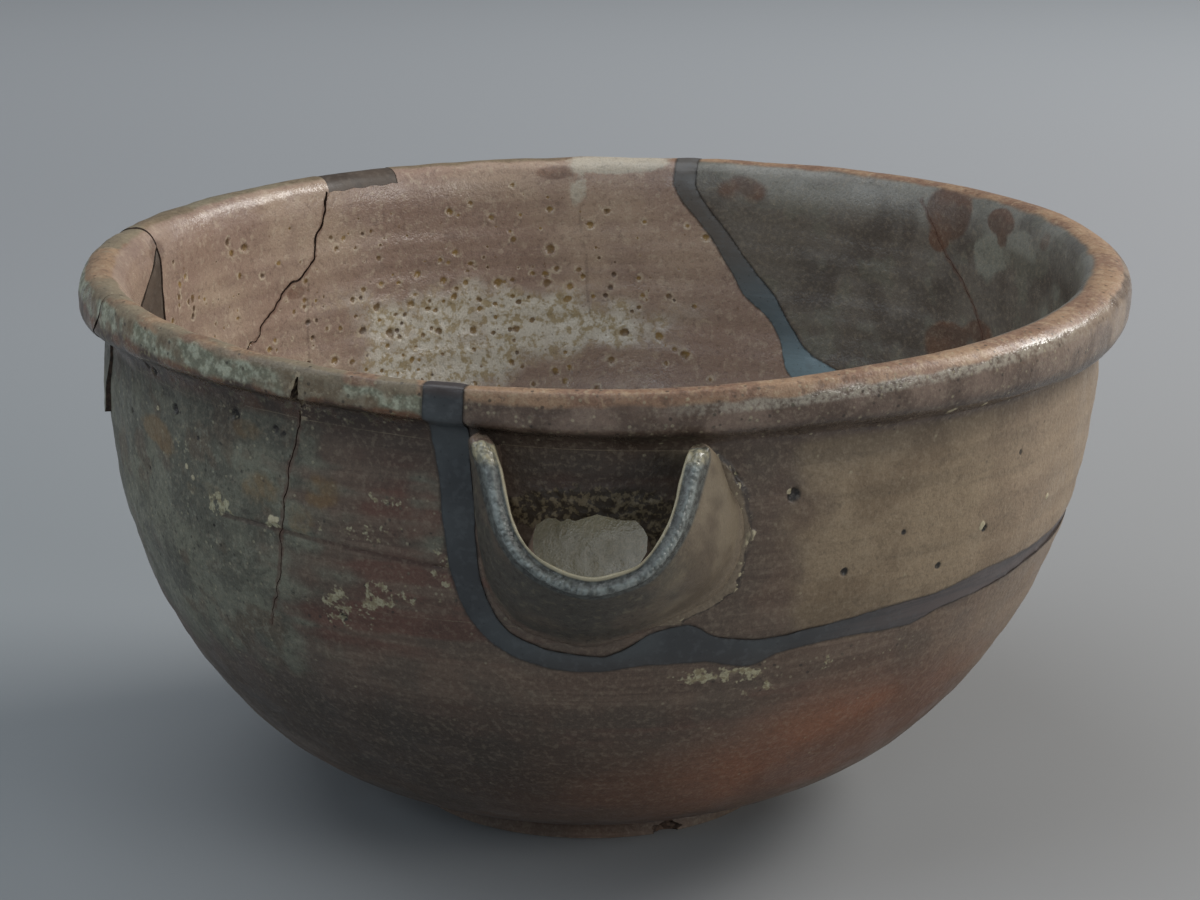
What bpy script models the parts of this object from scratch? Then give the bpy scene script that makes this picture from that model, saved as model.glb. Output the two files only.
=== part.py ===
# Cracked pouring bowl, wood-fired stoneware, broken and put together again.
# Metres, +Z up. The origin is the centre of the flat base, the spout points along -Y.
# The pot was thrown in one piece with a trough spout luted on under the rim. It has
# broken since: a large sherd with the spout and half the rim is set back in a dark
# filler seam, and a small rim sherd on the left stands a little proud.

import bpy
import bmesh
import math
import numpy as np

# ----------------------------------------------------------------------------
# driving dimensions, in millimetres and degrees
# ----------------------------------------------------------------------------
MM = 0.001
HEIGHT = 154.0            # base to the top of the rim
RIM_RADIUS = 145.0        # widest point of the rolled rim
BASE_RADIUS = 52.0        # flat unglazed base
LEAN = 4.7                # the rim's centre stands this far to +X of the base's centre
OVAL, OVAL_AT = 0.0054, 31.0   # the rim is slightly oval, long axis at this azimuth
GAP = 0.3                 # clearance between pieces that touch
SEGMENTS = 84             # facets round the bowl
CRACK = 1.2               # width of the open crack at the back left

# outer wall: height, radius
WALL = [(6.4, 55.6), (8.6, 62.3), (11.6, 69.9), (17.0, 81.2), (25.0, 93.0), (34.5, 103.0),
        (46.0, 112.2), (58.0, 120.0), (70.0, 126.0), (82.8, 130.7), (96.0, 134.5),
        (110.4, 136.5), (124.0, 137.6), (134.5, 137.4)]
# rolled rim: radius, height, from the wall round the outside and over the top
ROLL = [(137.9, 136.6), (140.2, 138.0), (143.0, 140.0), (144.7, 143.3), (145.0, 146.6),
        (144.6, 149.8), (143.0, 152.2), (140.2, 153.6), (137.2, 154.0), (134.6, 153.4),
        (132.6, 151.6), (131.4, 148.6)]
# inner wall: height, radius, from the middle of the floor up
INSIDE = [(12.0, 0.0), (12.6, 24.0), (13.6, 42.0), (16.2, 60.0), (21.0, 77.0), (29.0, 91.5),
          (41.0, 104.5), (55.0, 113.6), (70.0, 119.8), (86.0, 124.6), (102.0, 127.5),
          (120.0, 129.2), (138.0, 130.2), (144.5, 130.6)]
# hand-made unevenness of the rim, one value every 30 degrees from -180
APEX_OUT = [1.5, 4.0, 5.0, 5.0, 3.0, 0.0, -1.0, 0.0, 0.0, 0.0, 0.0, 0.5]
RIM_LIFT = [1.0, 1.8, 0.2, -1.0, 0.4, 0.6, 1.0, 1.0, 0.3, 0.0, 0.3, 0.6]
ROLL_LIFT = [-1.0, 3.0, 5.7, 3.3, 1.5, -1.4, -2.2, -0.8, 0.0, 0.0, 0.0, -0.5]
OUT_OF_ROUND = [0.3, -1.2, -1.0, -0.5, -0.6, -0.3, 0.6, 1.0, 0.5, 0.2, 0.4, 0.4]

# break line of the large sherd on the bowl's side: azimuth, height
SEAM_BOWL = [(-107.9, 138.0), (-107.2, 131.0), (-106.8, 122.0), (-106.3, 112.0), (-105.6, 102.0),
             (-104.6, 95.0), (-103.2, 89.0), (-101.2, 84.0), (-98.2, 80.0), (-94.2, 77.6),
             (-89.8, 77.1), (-84.3, 78.9), (-78.6, 79.0), (-73.2, 76.4), (-69.3, 79.6),
             (-61.4, 81.2), (-52.0, 80.4), (-47.5, 82.9), (-37.7, 84.0), (-27.4, 86.0),
             (-12.0, 87.0), (4.0, 86.0), (20.0, 84.0), (36.0, 83.0), (50.0, 83.5), (58.0, 86.0),
             (62.0, 91.0), (63.4, 99.5), (66.0, 107.0), (69.6, 113.4), (72.1, 122.0),
             (75.7, 133.2), (79.2, 142.4), (80.4, 147.0)]
# the same break on the sherd's side
SEAM_SHERD = [(-103.8, 133.5), (-103.3, 122.0), (-103.0, 112.0), (-102.6, 103.0), (-101.8, 97.0),
              (-100.8, 92.0), (-99.4, 88.0), (-97.2, 85.0), (-94.2, 83.0), (-89.8, 81.6),
              (-86.6, 84.6), (-84.2, 88.4), (-80.8, 90.2), (-76.8, 86.0), (-72.1, 84.3),
              (-62.0, 86.6), (-56.5, 87.7), (-48.5, 88.2), (-41.1, 90.2), (-29.5, 89.9),
              (-12.0, 90.5), (4.0, 90.0), (20.0, 88.5), (36.0, 88.0), (46.0, 89.5), (53.0, 92.5),
              (58.8, 97.0), (61.8, 103.7), (64.7, 112.9), (67.6, 119.6), (72.0, 131.1),
              (76.4, 143.0), (77.4, 147.0)]
# small rim sherd on the left: bottom and side edges, azimuth, height
LEFT_SHERD = [(167.6, 149.5), (172.3, 142.4), (177.2, 136.9), (181.0, 130.0), (183.6, 122.0),
              (184.7, 116.6), (187.8, 115.0), (190.6, 115.4), (192.8, 124.0), (194.7, 131.3),
              (196.3, 138.0), (198.3, 142.5), (201.0, 146.5), (202.4, 150.0)]
LEFT_BREAK = [(167.3, 116.0), (184.7, 115.9), (187.8, 114.5), (191.0, 114.9), (193.2, 124.0),
              (195.1, 131.3), (196.7, 138.0), (198.7, 142.5), (201.4, 146.5), (202.8, 150.0)]
LEFT_TILT = 2.6           # the sherd leans out by this many degrees, hinged at the rim
# filler in the triangular loss beside it: azimuth, bottom, top
WEDGE = [(167.7, 116.4, 148.6), (172.3, 116.4, 141.8), (177.2, 116.4, 136.3), (180.8, 116.3, 129.6),
         (183.2, 116.3, 121.8), (184.2, 116.3, 117.8)]
# chip in the top of the rim at the back left, filled: azimuths and lowest height
RIM_CHIP = (119.6, 130.4, 150.4)

# open crack at the back left, right through the wall: azimuth, height
CRACK_BACK = [(130.6, 149.2), (131.6, 144.5), (132.5, 140.2), (133.5, 133.7), (135.2, 127.8),
              (137.7, 125.0), (140.3, 120.6), (143.1, 115.6), (144.5, 111.6), (147.4, 107.3),
              (150.0, 101.5), (151.5, 96.0)]
# crack below the rim at the front left, on the outside
CRACK_FRONT = [(-123.2, 141.0), (-123.6, 133.3), (-124.6, 126.5), (-125.4, 118.0), (-125.9, 111.2),
               (-126.7, 99.4), (-127.7, 90.8), (-129.4, 83.5), (-130.2, 79.6)]
GASH = [(-121.6, 151.6), (-121.8, 148.5), (-122.1, 144.5), (-122.7, 140.0)]
# crack on the inside of the large sherd
CRACK_RIGHT = [(43.4, 150.0), (42.0, 147.0), (39.7, 140.9), (37.4, 134.8), (34.4, 129.6),
               (32.0, 124.5), (29.8, 119.1), (28.3, 114.6), (26.8, 108.0)]

# ragged hole through the wall behind the spout: azimuth, bottom, top
HOLE = [(-97.6, 108.5, 112.0), (-96.9, 105.0, 117.1), (-95.9, 103.2, 118.7), (-94.0, 101.8, 119.4),
        (-92.0, 101.2, 119.8), (-90.6, 101.0, 120.5), (-88.6, 101.4, 119.2), (-86.8, 102.6, 119.3),
        (-85.7, 104.8, 116.0), (-85.0, 108.0, 112.6)]

# trough spout, station by station round its U: the lip's crest (x, distance towards -Y,
# height), the outer foot on the wall and the inner foot on the wall (azimuth, height)
SPOUT = [
    ((-24.6, 147.6, 140.4), (-103.3, 137.5), (-100.7, 137.5)),
    ((-22.9, 150.8, 136.0), (-103.3, 130.0), (-100.2, 131.0)),
    ((-21.5, 154.1, 129.8), (-103.1, 120.0), (-99.4, 122.0)),
    ((-19.4, 157.0, 123.0), (-102.7, 109.0), (-98.5, 114.0)),
    ((-16.0, 159.1, 117.8), (-101.6, 99.0), (-97.4, 107.5)),
    ((-11.3, 160.6, 114.0), (-99.2, 90.8), (-95.6, 103.0)),
    ((-5.0, 161.6, 111.2), (-95.5, 86.6), (-93.6, 101.0)),
    ((1.5, 162.0, 110.1), (-91.0, 84.8), (-91.2, 100.4)),
    ((7.6, 161.7, 111.3), (-86.8, 87.6), (-88.6, 101.0)),
    ((13.0, 160.8, 113.3), (-83.0, 91.8), (-86.4, 103.2)),
    ((17.0, 159.4, 117.2), (-79.8, 95.4), (-84.7, 107.0)),
    ((20.6, 157.4, 122.5), (-77.0, 101.0), (-83.3, 113.0)),
    ((22.8, 155.2, 128.0), (-75.6, 109.0), (-82.3, 120.5)),
    ((24.4, 152.2, 134.0), (-75.6, 119.0), (-81.6, 129.0)),
    ((25.8, 149.6, 138.8), (-77.8, 129.5), (-81.0, 136.0)),
]
SPOUT_CENTRE = (1.5, 135.0)   # middle of the U, x and height
LIP = 2.7                     # half the lip's thickness


# ----------------------------------------------------------------------------
# curves
# ----------------------------------------------------------------------------
def along(table, x):
    """Smooth monotone curve through (x, y) control values."""
    xs = np.array([t[0] for t in table], float)
    ys = np.array([t[1] for t in table], float)
    h = np.diff(xs)
    s = np.diff(ys) / h
    m = np.zeros(len(xs))
    for i in range(1, len(xs) - 1):
        if s[i - 1] * s[i] > 0:
            w1, w2 = 2 * h[i] + h[i - 1], h[i] + 2 * h[i - 1]
            m[i] = (w1 + w2) / (w1 / s[i - 1] + w2 / s[i])
    m[0], m[-1] = s[0], s[-1]
    x = min(max(x, xs[0]), xs[-1])
    i = min(int(np.searchsorted(xs, x, side="right")) - 1, len(xs) - 2)
    t = (x - xs[i]) / h[i]
    return float((2 * t ** 3 - 3 * t ** 2 + 1) * ys[i] + (t ** 3 - 2 * t ** 2 + t) * h[i] * m[i]
                 + (-2 * t ** 3 + 3 * t ** 2) * ys[i + 1] + (t ** 3 - t ** 2) * h[i] * m[i + 1])


def around(values, azimuth):
    """Smooth closed curve through values set evenly round the bowl from -180 degrees."""
    n = len(values)
    u = ((azimuth + 180.0) % 360.0) / (360.0 / n)
    i = int(math.floor(u))
    t = u - i
    a, b, c, d = (values[(i + k) % n] for k in (-1, 0, 1, 2))
    return 0.5 * (2 * b + (c - a) * t + (2 * a - 5 * b + 4 * c - d) * t * t
                  + (3 * b - a - 3 * c + d) * t ** 3)


def clamp(v, low=0.0, high=1.0):
    return max(low, min(high, v))


def place(radius, azimuth, height):
    """Point at a radius and azimuth about the bowl's slightly leaning axis."""
    a = math.radians(azimuth)
    return (LEAN * height / HEIGHT + radius * math.cos(a), radius * math.sin(a), height)


def wall_radius(height):
    return along(WALL, height)


def profile():
    """Section of the bowl from the middle of the base, round the outside, to the middle inside."""
    pts = [(0.0, 0.0), (BASE_RADIUS, 0.0), (BASE_RADIUS - 1.0, 5.4)]
    pts += [(r, z) for z, r in WALL]
    pts += ROLL
    pts += [(r, z) for z, r in reversed(INSIDE)]
    return pts


def bent(radius, height, azimuth):
    """A section point moved by the bowl's hand-made unevenness."""
    upper = clamp((height - 60.0) / 94.0) ** 1.5
    oval = 1.0 + OVAL * math.cos(math.radians(2 * (azimuth - OVAL_AT))) * clamp(height / 60.0)
    out = around(OUT_OF_ROUND, azimuth) * upper
    lift = around(RIM_LIFT, azimuth) * upper
    top = clamp((height - 146.0) / 6.0) * clamp((145.0 - radius) / 6.0)
    under = clamp((147.0 - height) / 8.0) * clamp((radius - 136.5) / 3.0) * (height > 135.0)
    r = radius * oval + out + around(APEX_OUT, azimuth) * top
    z = height + lift + around(ROLL_LIFT, azimuth) * under
    return r, z


# ----------------------------------------------------------------------------
# meshes
# ----------------------------------------------------------------------------
def make_object(name, bm, smooth=35.0):
    bmesh.ops.recalc_face_normals(bm, faces=bm.faces)
    for v in bm.verts:
        v.co *= MM
    mesh = bpy.data.meshes.new(name)
    bm.to_mesh(mesh)
    bm.free()
    obj = bpy.data.objects.new(name, mesh)
    bpy.context.scene.collection.objects.link(obj)
    mesh.shade_smooth()
    mesh.set_sharp_from_angle(angle=math.radians(smooth))
    return obj


def shell_mesh(move=None):
    """The whole bowl as one closed turned shell."""
    bm = bmesh.new()
    section = profile()
    rings = []
    for r, z in section:
        if r == 0.0:
            rings.append([bm.verts.new((LEAN * z / HEIGHT, 0.0, z))])
            continue
        ring = []
        for k in range(SEGMENTS):
            azimuth = -180.0 + 360.0 * k / SEGMENTS
            rr, zz = bent(r, z, azimuth)
            p = place(rr, azimuth, zz)
            if move:
                p = move(p)
            ring.append(bm.verts.new(p))
        rings.append(ring)
    for a, b in zip(rings[:-1], rings[1:]):
        for k in range(SEGMENTS):
            n = (k + 1) % SEGMENTS
            if len(a) == 1:
                bm.faces.new((a[0], b[n], b[k]))
            elif len(b) == 1:
                bm.faces.new((a[k], a[n], b[0]))
            else:
                bm.faces.new((a[k], a[n], b[n], b[k]))
    return bm


def prism(columns, inner=108.0, outer=176.0):
    """Closed block between two radii, given as (azimuth, bottom, top) columns."""
    bm = bmesh.new()
    fine = []
    for (a0, b0, t0), (a1, b1, t1) in zip(columns[:-1], columns[1:]):
        steps = max(1, int(math.ceil(abs(a1 - a0) / 6.0)))
        for k in range(steps):
            f = k / steps
            fine.append((a0 + (a1 - a0) * f, b0 + (b1 - b0) * f, t0 + (t1 - t0) * f))
    fine.append(columns[-1])
    cols = []
    for a, b, t in fine:
        cols.append([bm.verts.new(place(inner, a, b)), bm.verts.new(place(outer, a, b)),
                     bm.verts.new(place(outer, a, t)), bm.verts.new(place(inner, a, t))])
    for p, q in zip(cols[:-1], cols[1:]):
        for k in range(4):
            n = (k + 1) % 4
            bm.faces.new((p[k], p[n], q[n]))
            bm.faces.new((p[k], q[n], q[k]))
    bm.faces.new(list(reversed(cols[0])))
    bm.faces.new(cols[-1])
    return bm


def shifted(path, by, radius=137.0):
    """A break line moved square to itself by a distance, up and inwards if positive."""
    pts = [(math.radians(a) * radius, z) for a, z in path]
    out = []
    for i, (u, z) in enumerate(pts):
        u0, z0 = pts[max(i - 1, 0)]
        u1, z1 = pts[min(i + 1, len(pts) - 1)]
        du, dz = u1 - u0, z1 - z0
        n = math.hypot(du, dz)
        out.append((math.degrees((u - dz / n * by) / radius), z + du / n * by))
    return out


def region(path, top=175.0):
    return [(a, z, top) for a, z in path]


def slit(path, widths, inner, outer, point=False):
    """Narrow closed strip along a path: square right through, or pointed at its depth.
    inner and outer are radii, or functions of height."""
    bm = bmesh.new()
    get = lambda v, z: v(z) if callable(v) else v
    rows = []
    R = 137.0
    pts = [(math.radians(a) * R, z) for a, z in path]
    for i, (u, z) in enumerate(pts):
        u0, z0 = pts[max(i - 1, 0)]
        u1, z1 = pts[min(i + 1, len(pts) - 1)]
        du, dz = u1 - u0, z1 - z0
        n = math.hypot(du, dz)
        nu, nz = -dz / n, du / n
        w = widths[i] / 2.0
        a, b = (u + nu * w, z + nz * w), (u - nu * w, z - nz * w)
        deg = lambda q: math.degrees(q[0] / R)
        if point:
            rows.append([place(get(outer, z), deg(a), a[1]), place(get(outer, z), deg(b), b[1]),
                         place(get(inner, z), deg((u, z)), z)])
        else:
            rows.append([place(get(outer, z), deg(a), a[1]), place(get(outer, z), deg(b), b[1]),
                         place(get(inner, z), deg(b), b[1]), place(get(inner, z), deg(a), a[1])])
    verts = [[bm.verts.new(p) for p in row] for row in rows]
    m = len(verts[0])
    for p, q in zip(verts[:-1], verts[1:]):
        for k in range(m):
            n = (k + 1) % m
            bm.faces.new((p[k], p[n], q[n], q[k]))
    bm.faces.new(list(reversed(verts[0])))
    bm.faces.new(verts[-1])
    return bm


def spout_mesh():
    """The trough, lofted round its U, with its root buried in the wall."""
    bm = bmesh.new()
    rows = []
    for (x, y, z), (ao, zo), (ai, zi) in SPOUT:
        crest = np.array([x, -y, z])
        n = np.array([x - SPOUT_CENTRE[0], 0.0, z - SPOUT_CENTRE[1]])
        n = n / np.linalg.norm(n)
        back = np.array([0.0, 1.0, 0.0])
        root_out = np.array(place(wall_radius(zo) - 4.0, ao, zo))
        foot_out = np.array(place(wall_radius(zo) + 0.3, ao, zo))
        root_in = np.array(place(wall_radius(zi) - 4.0, ai, zi))
        foot_in = np.array(place(wall_radius(zi) + 0.5, ai, zi))
        lip_out = crest + n * LIP + back * 2.2
        lip_in = crest - n * LIP * 0.9 + back * 1.2
        mid_out = 0.5 * (foot_out + lip_out) + n * 1.2 - back * 0.8
        mid_in = 0.5 * (foot_in + lip_in) + n * 0.4
        rows.append([root_out, foot_out, mid_out, lip_out, crest - back * 0.6 + n * 0.6,
                     lip_in, mid_in, foot_in, root_in])
    verts = [[bm.verts.new(tuple(p)) for p in row] for row in rows]
    m = len(verts[0])
    for p, q in zip(verts[:-1], verts[1:]):
        for k in range(m):
            n = (k + 1) % m
            bm.faces.new((p[k], p[n], q[n], q[k]))
    bm.faces.new(list(reversed(verts[0])))
    bm.faces.new(verts[-1])
    bmesh.ops.triangulate(bm, faces=list(bm.faces))
    return bm


def cutter(name, bm):
    obj = make_object(name, bm)
    obj.hide_render = True
    obj.display_type = 'WIRE'
    return obj


def boolean(obj, tool, operation):
    mod = obj.modifiers.new(operation.lower() + "_" + tool.name, 'BOOLEAN')
    mod.operation = operation
    mod.solver = 'EXACT'
    mod.object = tool


def material(name, colour, roughness, metallic=0.0):
    mat = bpy.data.materials.new(name)
    mat.use_nodes = True
    shader = mat.node_tree.nodes["Principled BSDF"]
    shader.inputs["Base Color"].default_value = (*colour, 1.0)
    shader.inputs["Roughness"].default_value = roughness
    shader.inputs["Metallic"].default_value = metallic
    return mat


def tilt_out(p):
    """Left sherd: turned outwards about the rim, so its lower end stands proud."""
    hinge = np.array(place(141.0, 185.0, 150.0))
    out = np.array([math.cos(math.radians(185.0)), math.sin(math.radians(185.0)), 0.0])
    d = np.array(p) - hinge
    along_out, up = float(d @ out), d[2]
    rest = d - out * along_out - np.array([0.0, 0.0, up])
    t = math.radians(LEFT_TILT)
    new = rest + out * (along_out * math.cos(t) - up * math.sin(t))
    new = new + np.array([0.0, 0.0, up * math.cos(t) + along_out * math.sin(t)])
    return tuple(hinge + new)


# ----------------------------------------------------------------------------
# build
# ----------------------------------------------------------------------------
def main():
    for obj in list(bpy.data.objects):
        bpy.data.objects.remove(obj, do_unlink=True)

    stoneware = material("stoneware", (0.14, 0.11, 0.085), 0.55)
    sherd_clay = material("stoneware_sherd", (0.16, 0.125, 0.095), 0.5)
    slate_filler = material("slate_filler", (0.055, 0.06, 0.075), 0.35)
    brown_filler = material("brown_filler", (0.09, 0.075, 0.065), 0.5)

    # cutters
    bowl_break = cutter("cut_bowl_break", prism(region(SEAM_BOWL)))
    sherd_edge = cutter("cut_sherd_edge", prism(region(SEAM_SHERD)))
    mend_outer = cutter("cut_mend_outer", prism(region(shifted(SEAM_BOWL, GAP))))
    mend_inner = cutter("cut_mend_inner", prism(region(shifted(SEAM_SHERD, -GAP))))
    left_break = cutter("cut_left_break", prism(region(LEFT_BREAK)))
    left_edge = cutter("cut_left_edge", prism(region(LEFT_SHERD)))
    wedge = cutter("cut_wedge", prism(WEDGE))
    a0, a1, low = RIM_CHIP
    chip = cutter("cut_rim_chip", prism([(a0, low, 175.0), (a1, low, 175.0)], 120.0, 160.0))
    fill = cutter("cut_rim_fill", prism([(a0 + 0.14, low + GAP, 175.0),
                                         (a1 - 0.14, low + GAP, 175.0)], 120.0, 160.0))
    n = len(CRACK_BACK)
    open_crack = cutter("cut_crack_back", slit(
        CRACK_BACK, [CRACK * (1.0 - 0.75 * (i / (n - 1)) ** 2) for i in range(n)], 110.0, 152.0))
    n = len(CRACK_FRONT)
    front_crack = cutter("cut_crack_front", slit(
        CRACK_FRONT, [2.0 - 1.4 * i / (n - 1) for i in range(n)],
        lambda z: wall_radius(z) - 3.2, lambda z: wall_radius(z) + 3.0, point=True))
    gash = cutter("cut_gash", slit(GASH, [0.5, 1.4, 1.9, 1.0], 138.6, 152.0))
    n = len(CRACK_RIGHT)
    inner_crack = cutter("cut_crack_right", slit(
        CRACK_RIGHT, [1.8 - 1.2 * i / (n - 1) for i in range(n)],
        lambda z: wall_radius(z) - 4.5, lambda z: wall_radius(z) - 11.0, point=True))
    hole = cutter("cut_spout_hole", prism(HOLE, 112.0, 140.5))
    foot_bm = bmesh.new()
    bmesh.ops.create_icosphere(foot_bm, subdivisions=1, radius=4.2)
    for v in foot_bm.verts:
        p = place(54.6, -64.0, 1.0)
        v.co = (v.co.x * 1.6 + p[0], v.co.y + p[1], v.co.z * 0.8 + p[2])
    foot_chip = cutter("cut_foot_chip", foot_bm)
    trough = cutter("cut_trough", spout_mesh())

    # base, foot, left wall and the rest of the rim
    bowl = make_object("bowl_body", shell_mesh())
    bowl.data.materials.append(stoneware)
    for tool in (bowl_break, left_break, chip, open_crack, front_crack, gash, foot_chip):
        boolean(bowl, tool, 'DIFFERENCE')

    # right wall and rim with the spout
    sherd = make_object("spout_sherd", shell_mesh())
    sherd.data.materials.append(sherd_clay)
    boolean(sherd, trough, 'UNION')
    boolean(sherd, hole, 'DIFFERENCE')
    boolean(sherd, sherd_edge, 'INTERSECT')
    boolean(sherd, inner_crack, 'DIFFERENCE')

    # filler that holds the large sherd
    mend = make_object("mend_seam", shell_mesh())
    mend.data.materials.append(slate_filler)
    boolean(mend, mend_outer, 'INTERSECT')
    boolean(mend, mend_inner, 'DIFFERENCE')

    # small rim sherd on the left, standing proud
    left = make_object("left_rim_sherd", shell_mesh(tilt_out))
    left.data.materials.append(stoneware)
    boolean(left, left_edge, 'INTERSECT')

    # filler beside it, and in the chipped rim
    wedge_fill = make_object("wedge_fill", shell_mesh())
    wedge_fill.data.materials.append(brown_filler)
    boolean(wedge_fill, wedge, 'INTERSECT')

    rim_fill = make_object("rim_fill", shell_mesh())
    rim_fill.data.materials.append(brown_filler)
    boolean(rim_fill, fill, 'INTERSECT')


main()
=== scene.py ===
import bpy
import bmesh
import math
import numpy as np
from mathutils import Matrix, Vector


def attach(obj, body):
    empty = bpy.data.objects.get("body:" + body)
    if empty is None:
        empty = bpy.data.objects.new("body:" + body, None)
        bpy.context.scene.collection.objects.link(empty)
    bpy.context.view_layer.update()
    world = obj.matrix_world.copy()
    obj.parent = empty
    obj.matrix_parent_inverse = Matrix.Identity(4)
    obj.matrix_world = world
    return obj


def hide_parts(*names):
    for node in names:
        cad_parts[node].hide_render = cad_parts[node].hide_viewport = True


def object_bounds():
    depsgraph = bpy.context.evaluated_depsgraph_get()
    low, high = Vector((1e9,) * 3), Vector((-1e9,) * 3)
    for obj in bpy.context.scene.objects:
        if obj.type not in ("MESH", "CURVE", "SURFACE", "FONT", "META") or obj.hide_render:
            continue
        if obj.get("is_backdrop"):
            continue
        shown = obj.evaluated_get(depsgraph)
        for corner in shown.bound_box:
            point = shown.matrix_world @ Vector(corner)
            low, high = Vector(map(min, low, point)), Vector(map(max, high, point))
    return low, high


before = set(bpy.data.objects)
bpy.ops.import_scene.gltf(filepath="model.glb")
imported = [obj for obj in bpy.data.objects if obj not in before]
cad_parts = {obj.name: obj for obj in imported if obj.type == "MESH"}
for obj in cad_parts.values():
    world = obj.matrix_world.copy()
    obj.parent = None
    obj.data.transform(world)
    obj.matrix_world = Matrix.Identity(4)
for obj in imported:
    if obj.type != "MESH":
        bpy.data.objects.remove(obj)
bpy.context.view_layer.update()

MM = 0.001
HEIGHT = 154.0
BASE_RADIUS = 52.0
LEAN = 4.7
OVAL, OVAL_AT = 0.0054, 31.0
GAP = 0.05

# ----------------------------------------------------------------------------
# the bowl's form, in millimetres and degrees
# ----------------------------------------------------------------------------
WALL = [(6.4, 55.6), (8.6, 62.3), (11.6, 69.9), (17.0, 81.2), (25.0, 93.0), (34.5, 103.0),
        (46.0, 112.2), (58.0, 120.0), (70.0, 126.0), (82.8, 130.7), (96.0, 134.5),
        (110.4, 136.5), (124.0, 137.6), (134.5, 137.4)]
ROLL = [(137.9, 136.6), (140.2, 138.0), (143.0, 140.0), (144.7, 143.3), (145.0, 146.6),
        (144.6, 149.8), (143.0, 152.2), (140.2, 153.6), (137.2, 154.0), (134.6, 153.4),
        (132.6, 151.6), (131.4, 148.6)]
INSIDE = [(12.0, 0.0), (12.6, 24.0), (13.6, 42.0), (16.2, 60.0), (21.0, 77.0), (29.0, 91.5),
          (41.0, 104.5), (55.0, 113.6), (70.0, 119.8), (86.0, 124.6), (102.0, 127.5),
          (120.0, 129.2), (138.0, 130.2), (144.5, 130.6)]
APEX_OUT = [1.5, 4.0, 5.0, 5.0, 3.0, 0.0, -1.0, 0.0, 0.0, 0.0, 0.0, 0.5]
RIM_LIFT = [1.0, 1.8, 0.2, -1.0, 0.4, 0.6, 1.0, 1.0, 0.3, 0.0, 0.3, 0.6]
ROLL_LIFT = [-1.0, 3.0, 5.7, 3.3, 1.5, -1.4, -2.2, -0.8, 0.0, 0.0, 0.0, -0.5]
OUT_OF_ROUND = [0.3, -1.2, -1.0, -0.5, -0.6, -0.3, 0.6, 1.0, 0.5, 0.2, 0.4, 0.4]
SEAM_BOWL = [(-107.9, 138.0), (-107.2, 131.0), (-106.8, 122.0), (-106.3, 112.0), (-105.6, 102.0),
             (-104.6, 95.0), (-103.2, 89.0), (-101.2, 84.0), (-98.2, 80.0), (-94.2, 77.6),
             (-89.8, 77.1), (-84.3, 78.9), (-78.6, 79.0), (-73.2, 76.4), (-69.3, 79.6),
             (-61.4, 81.2), (-52.0, 80.4), (-47.5, 82.9), (-37.7, 84.0), (-27.4, 86.0),
             (-12.0, 87.0), (4.0, 86.0), (20.0, 84.0), (36.0, 83.0), (50.0, 83.5), (58.0, 86.0),
             (62.0, 91.0), (63.4, 99.5), (66.0, 107.0), (69.6, 113.4), (72.1, 122.0),
             (75.7, 133.2), (79.2, 142.4), (80.4, 147.0)]
SEAM_SHERD = [(-103.8, 133.5), (-103.3, 122.0), (-103.0, 112.0), (-102.6, 103.0), (-101.8, 97.0),
              (-100.8, 92.0), (-99.4, 88.0), (-97.2, 85.0), (-94.2, 83.0), (-89.8, 81.6),
              (-86.6, 84.6), (-84.2, 88.4), (-80.8, 90.2), (-76.8, 86.0), (-72.1, 84.3),
              (-62.0, 86.6), (-56.5, 87.7), (-48.5, 88.2), (-41.1, 90.2), (-29.5, 89.9),
              (-12.0, 90.5), (4.0, 90.0), (20.0, 88.5), (36.0, 88.0), (46.0, 89.5), (53.0, 92.5),
              (58.8, 97.0), (61.8, 103.7), (64.7, 112.9), (67.6, 119.6), (72.0, 131.1),
              (76.4, 143.0), (77.4, 147.0)]
LEFT_SHERD = [(167.6, 149.5), (172.3, 142.4), (177.2, 136.9), (181.0, 130.0), (183.6, 122.0),
              (184.7, 116.6), (187.8, 115.0), (190.6, 115.4), (192.8, 124.0), (194.7, 131.3),
              (196.3, 138.0), (198.3, 142.5), (201.0, 146.5), (202.4, 150.0)]
LEFT_BREAK = [(167.3, 116.0), (184.7, 115.9), (187.8, 114.5), (191.0, 114.9), (193.2, 124.0),
              (195.1, 131.3), (196.7, 138.0), (198.7, 142.5), (201.4, 146.5), (202.8, 150.0)]
LEFT_TILT = 2.6
WEDGE = [(167.7, 116.4, 148.6), (172.3, 116.4, 141.8), (177.2, 116.4, 136.3), (180.8, 116.3, 129.6),
         (183.2, 116.3, 121.8), (184.2, 116.3, 117.8)]
RIM_CHIP = (119.6, 130.4, 150.4)
CRACK_BACK = [(130.6, 150.4), (131.3, 148.0), (131.7, 144.2), (132.3, 140.1), (133.2, 137.2),
              (133.3, 133.5), (133.9, 130.0), (135.2, 126.9), (136.3, 125.3), (137.8, 124.9),
              (139.0, 122.9), (140.2, 120.4), (141.4, 117.6), (143.1, 115.6), (144.2, 113.4),
              (144.4, 111.3), (146.1, 109.7), (147.6, 107.0), (150.0, 101.5), (151.5, 96.0)]
CRACK_FRONT = [(-123.2, 141.0), (-123.6, 133.3), (-124.6, 126.5), (-125.4, 118.0), (-125.9, 111.2),
               (-126.7, 99.4), (-127.7, 90.8), (-129.4, 83.5), (-130.2, 79.6)]
GASH = [(-121.6, 151.6), (-121.8, 148.5), (-122.1, 144.5), (-122.7, 140.0)]
CRACK_RIGHT = [(43.4, 150.0), (42.0, 147.0), (39.7, 140.9), (37.4, 134.8), (34.4, 129.6),
               (32.0, 124.5), (29.8, 119.1), (28.3, 114.6), (26.8, 108.0)]
HAIR_ONE = [(93.6, 149.0), (93.8, 143.0), (93.0, 131.0), (92.4, 120.0), (91.6, 104.0)]
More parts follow.
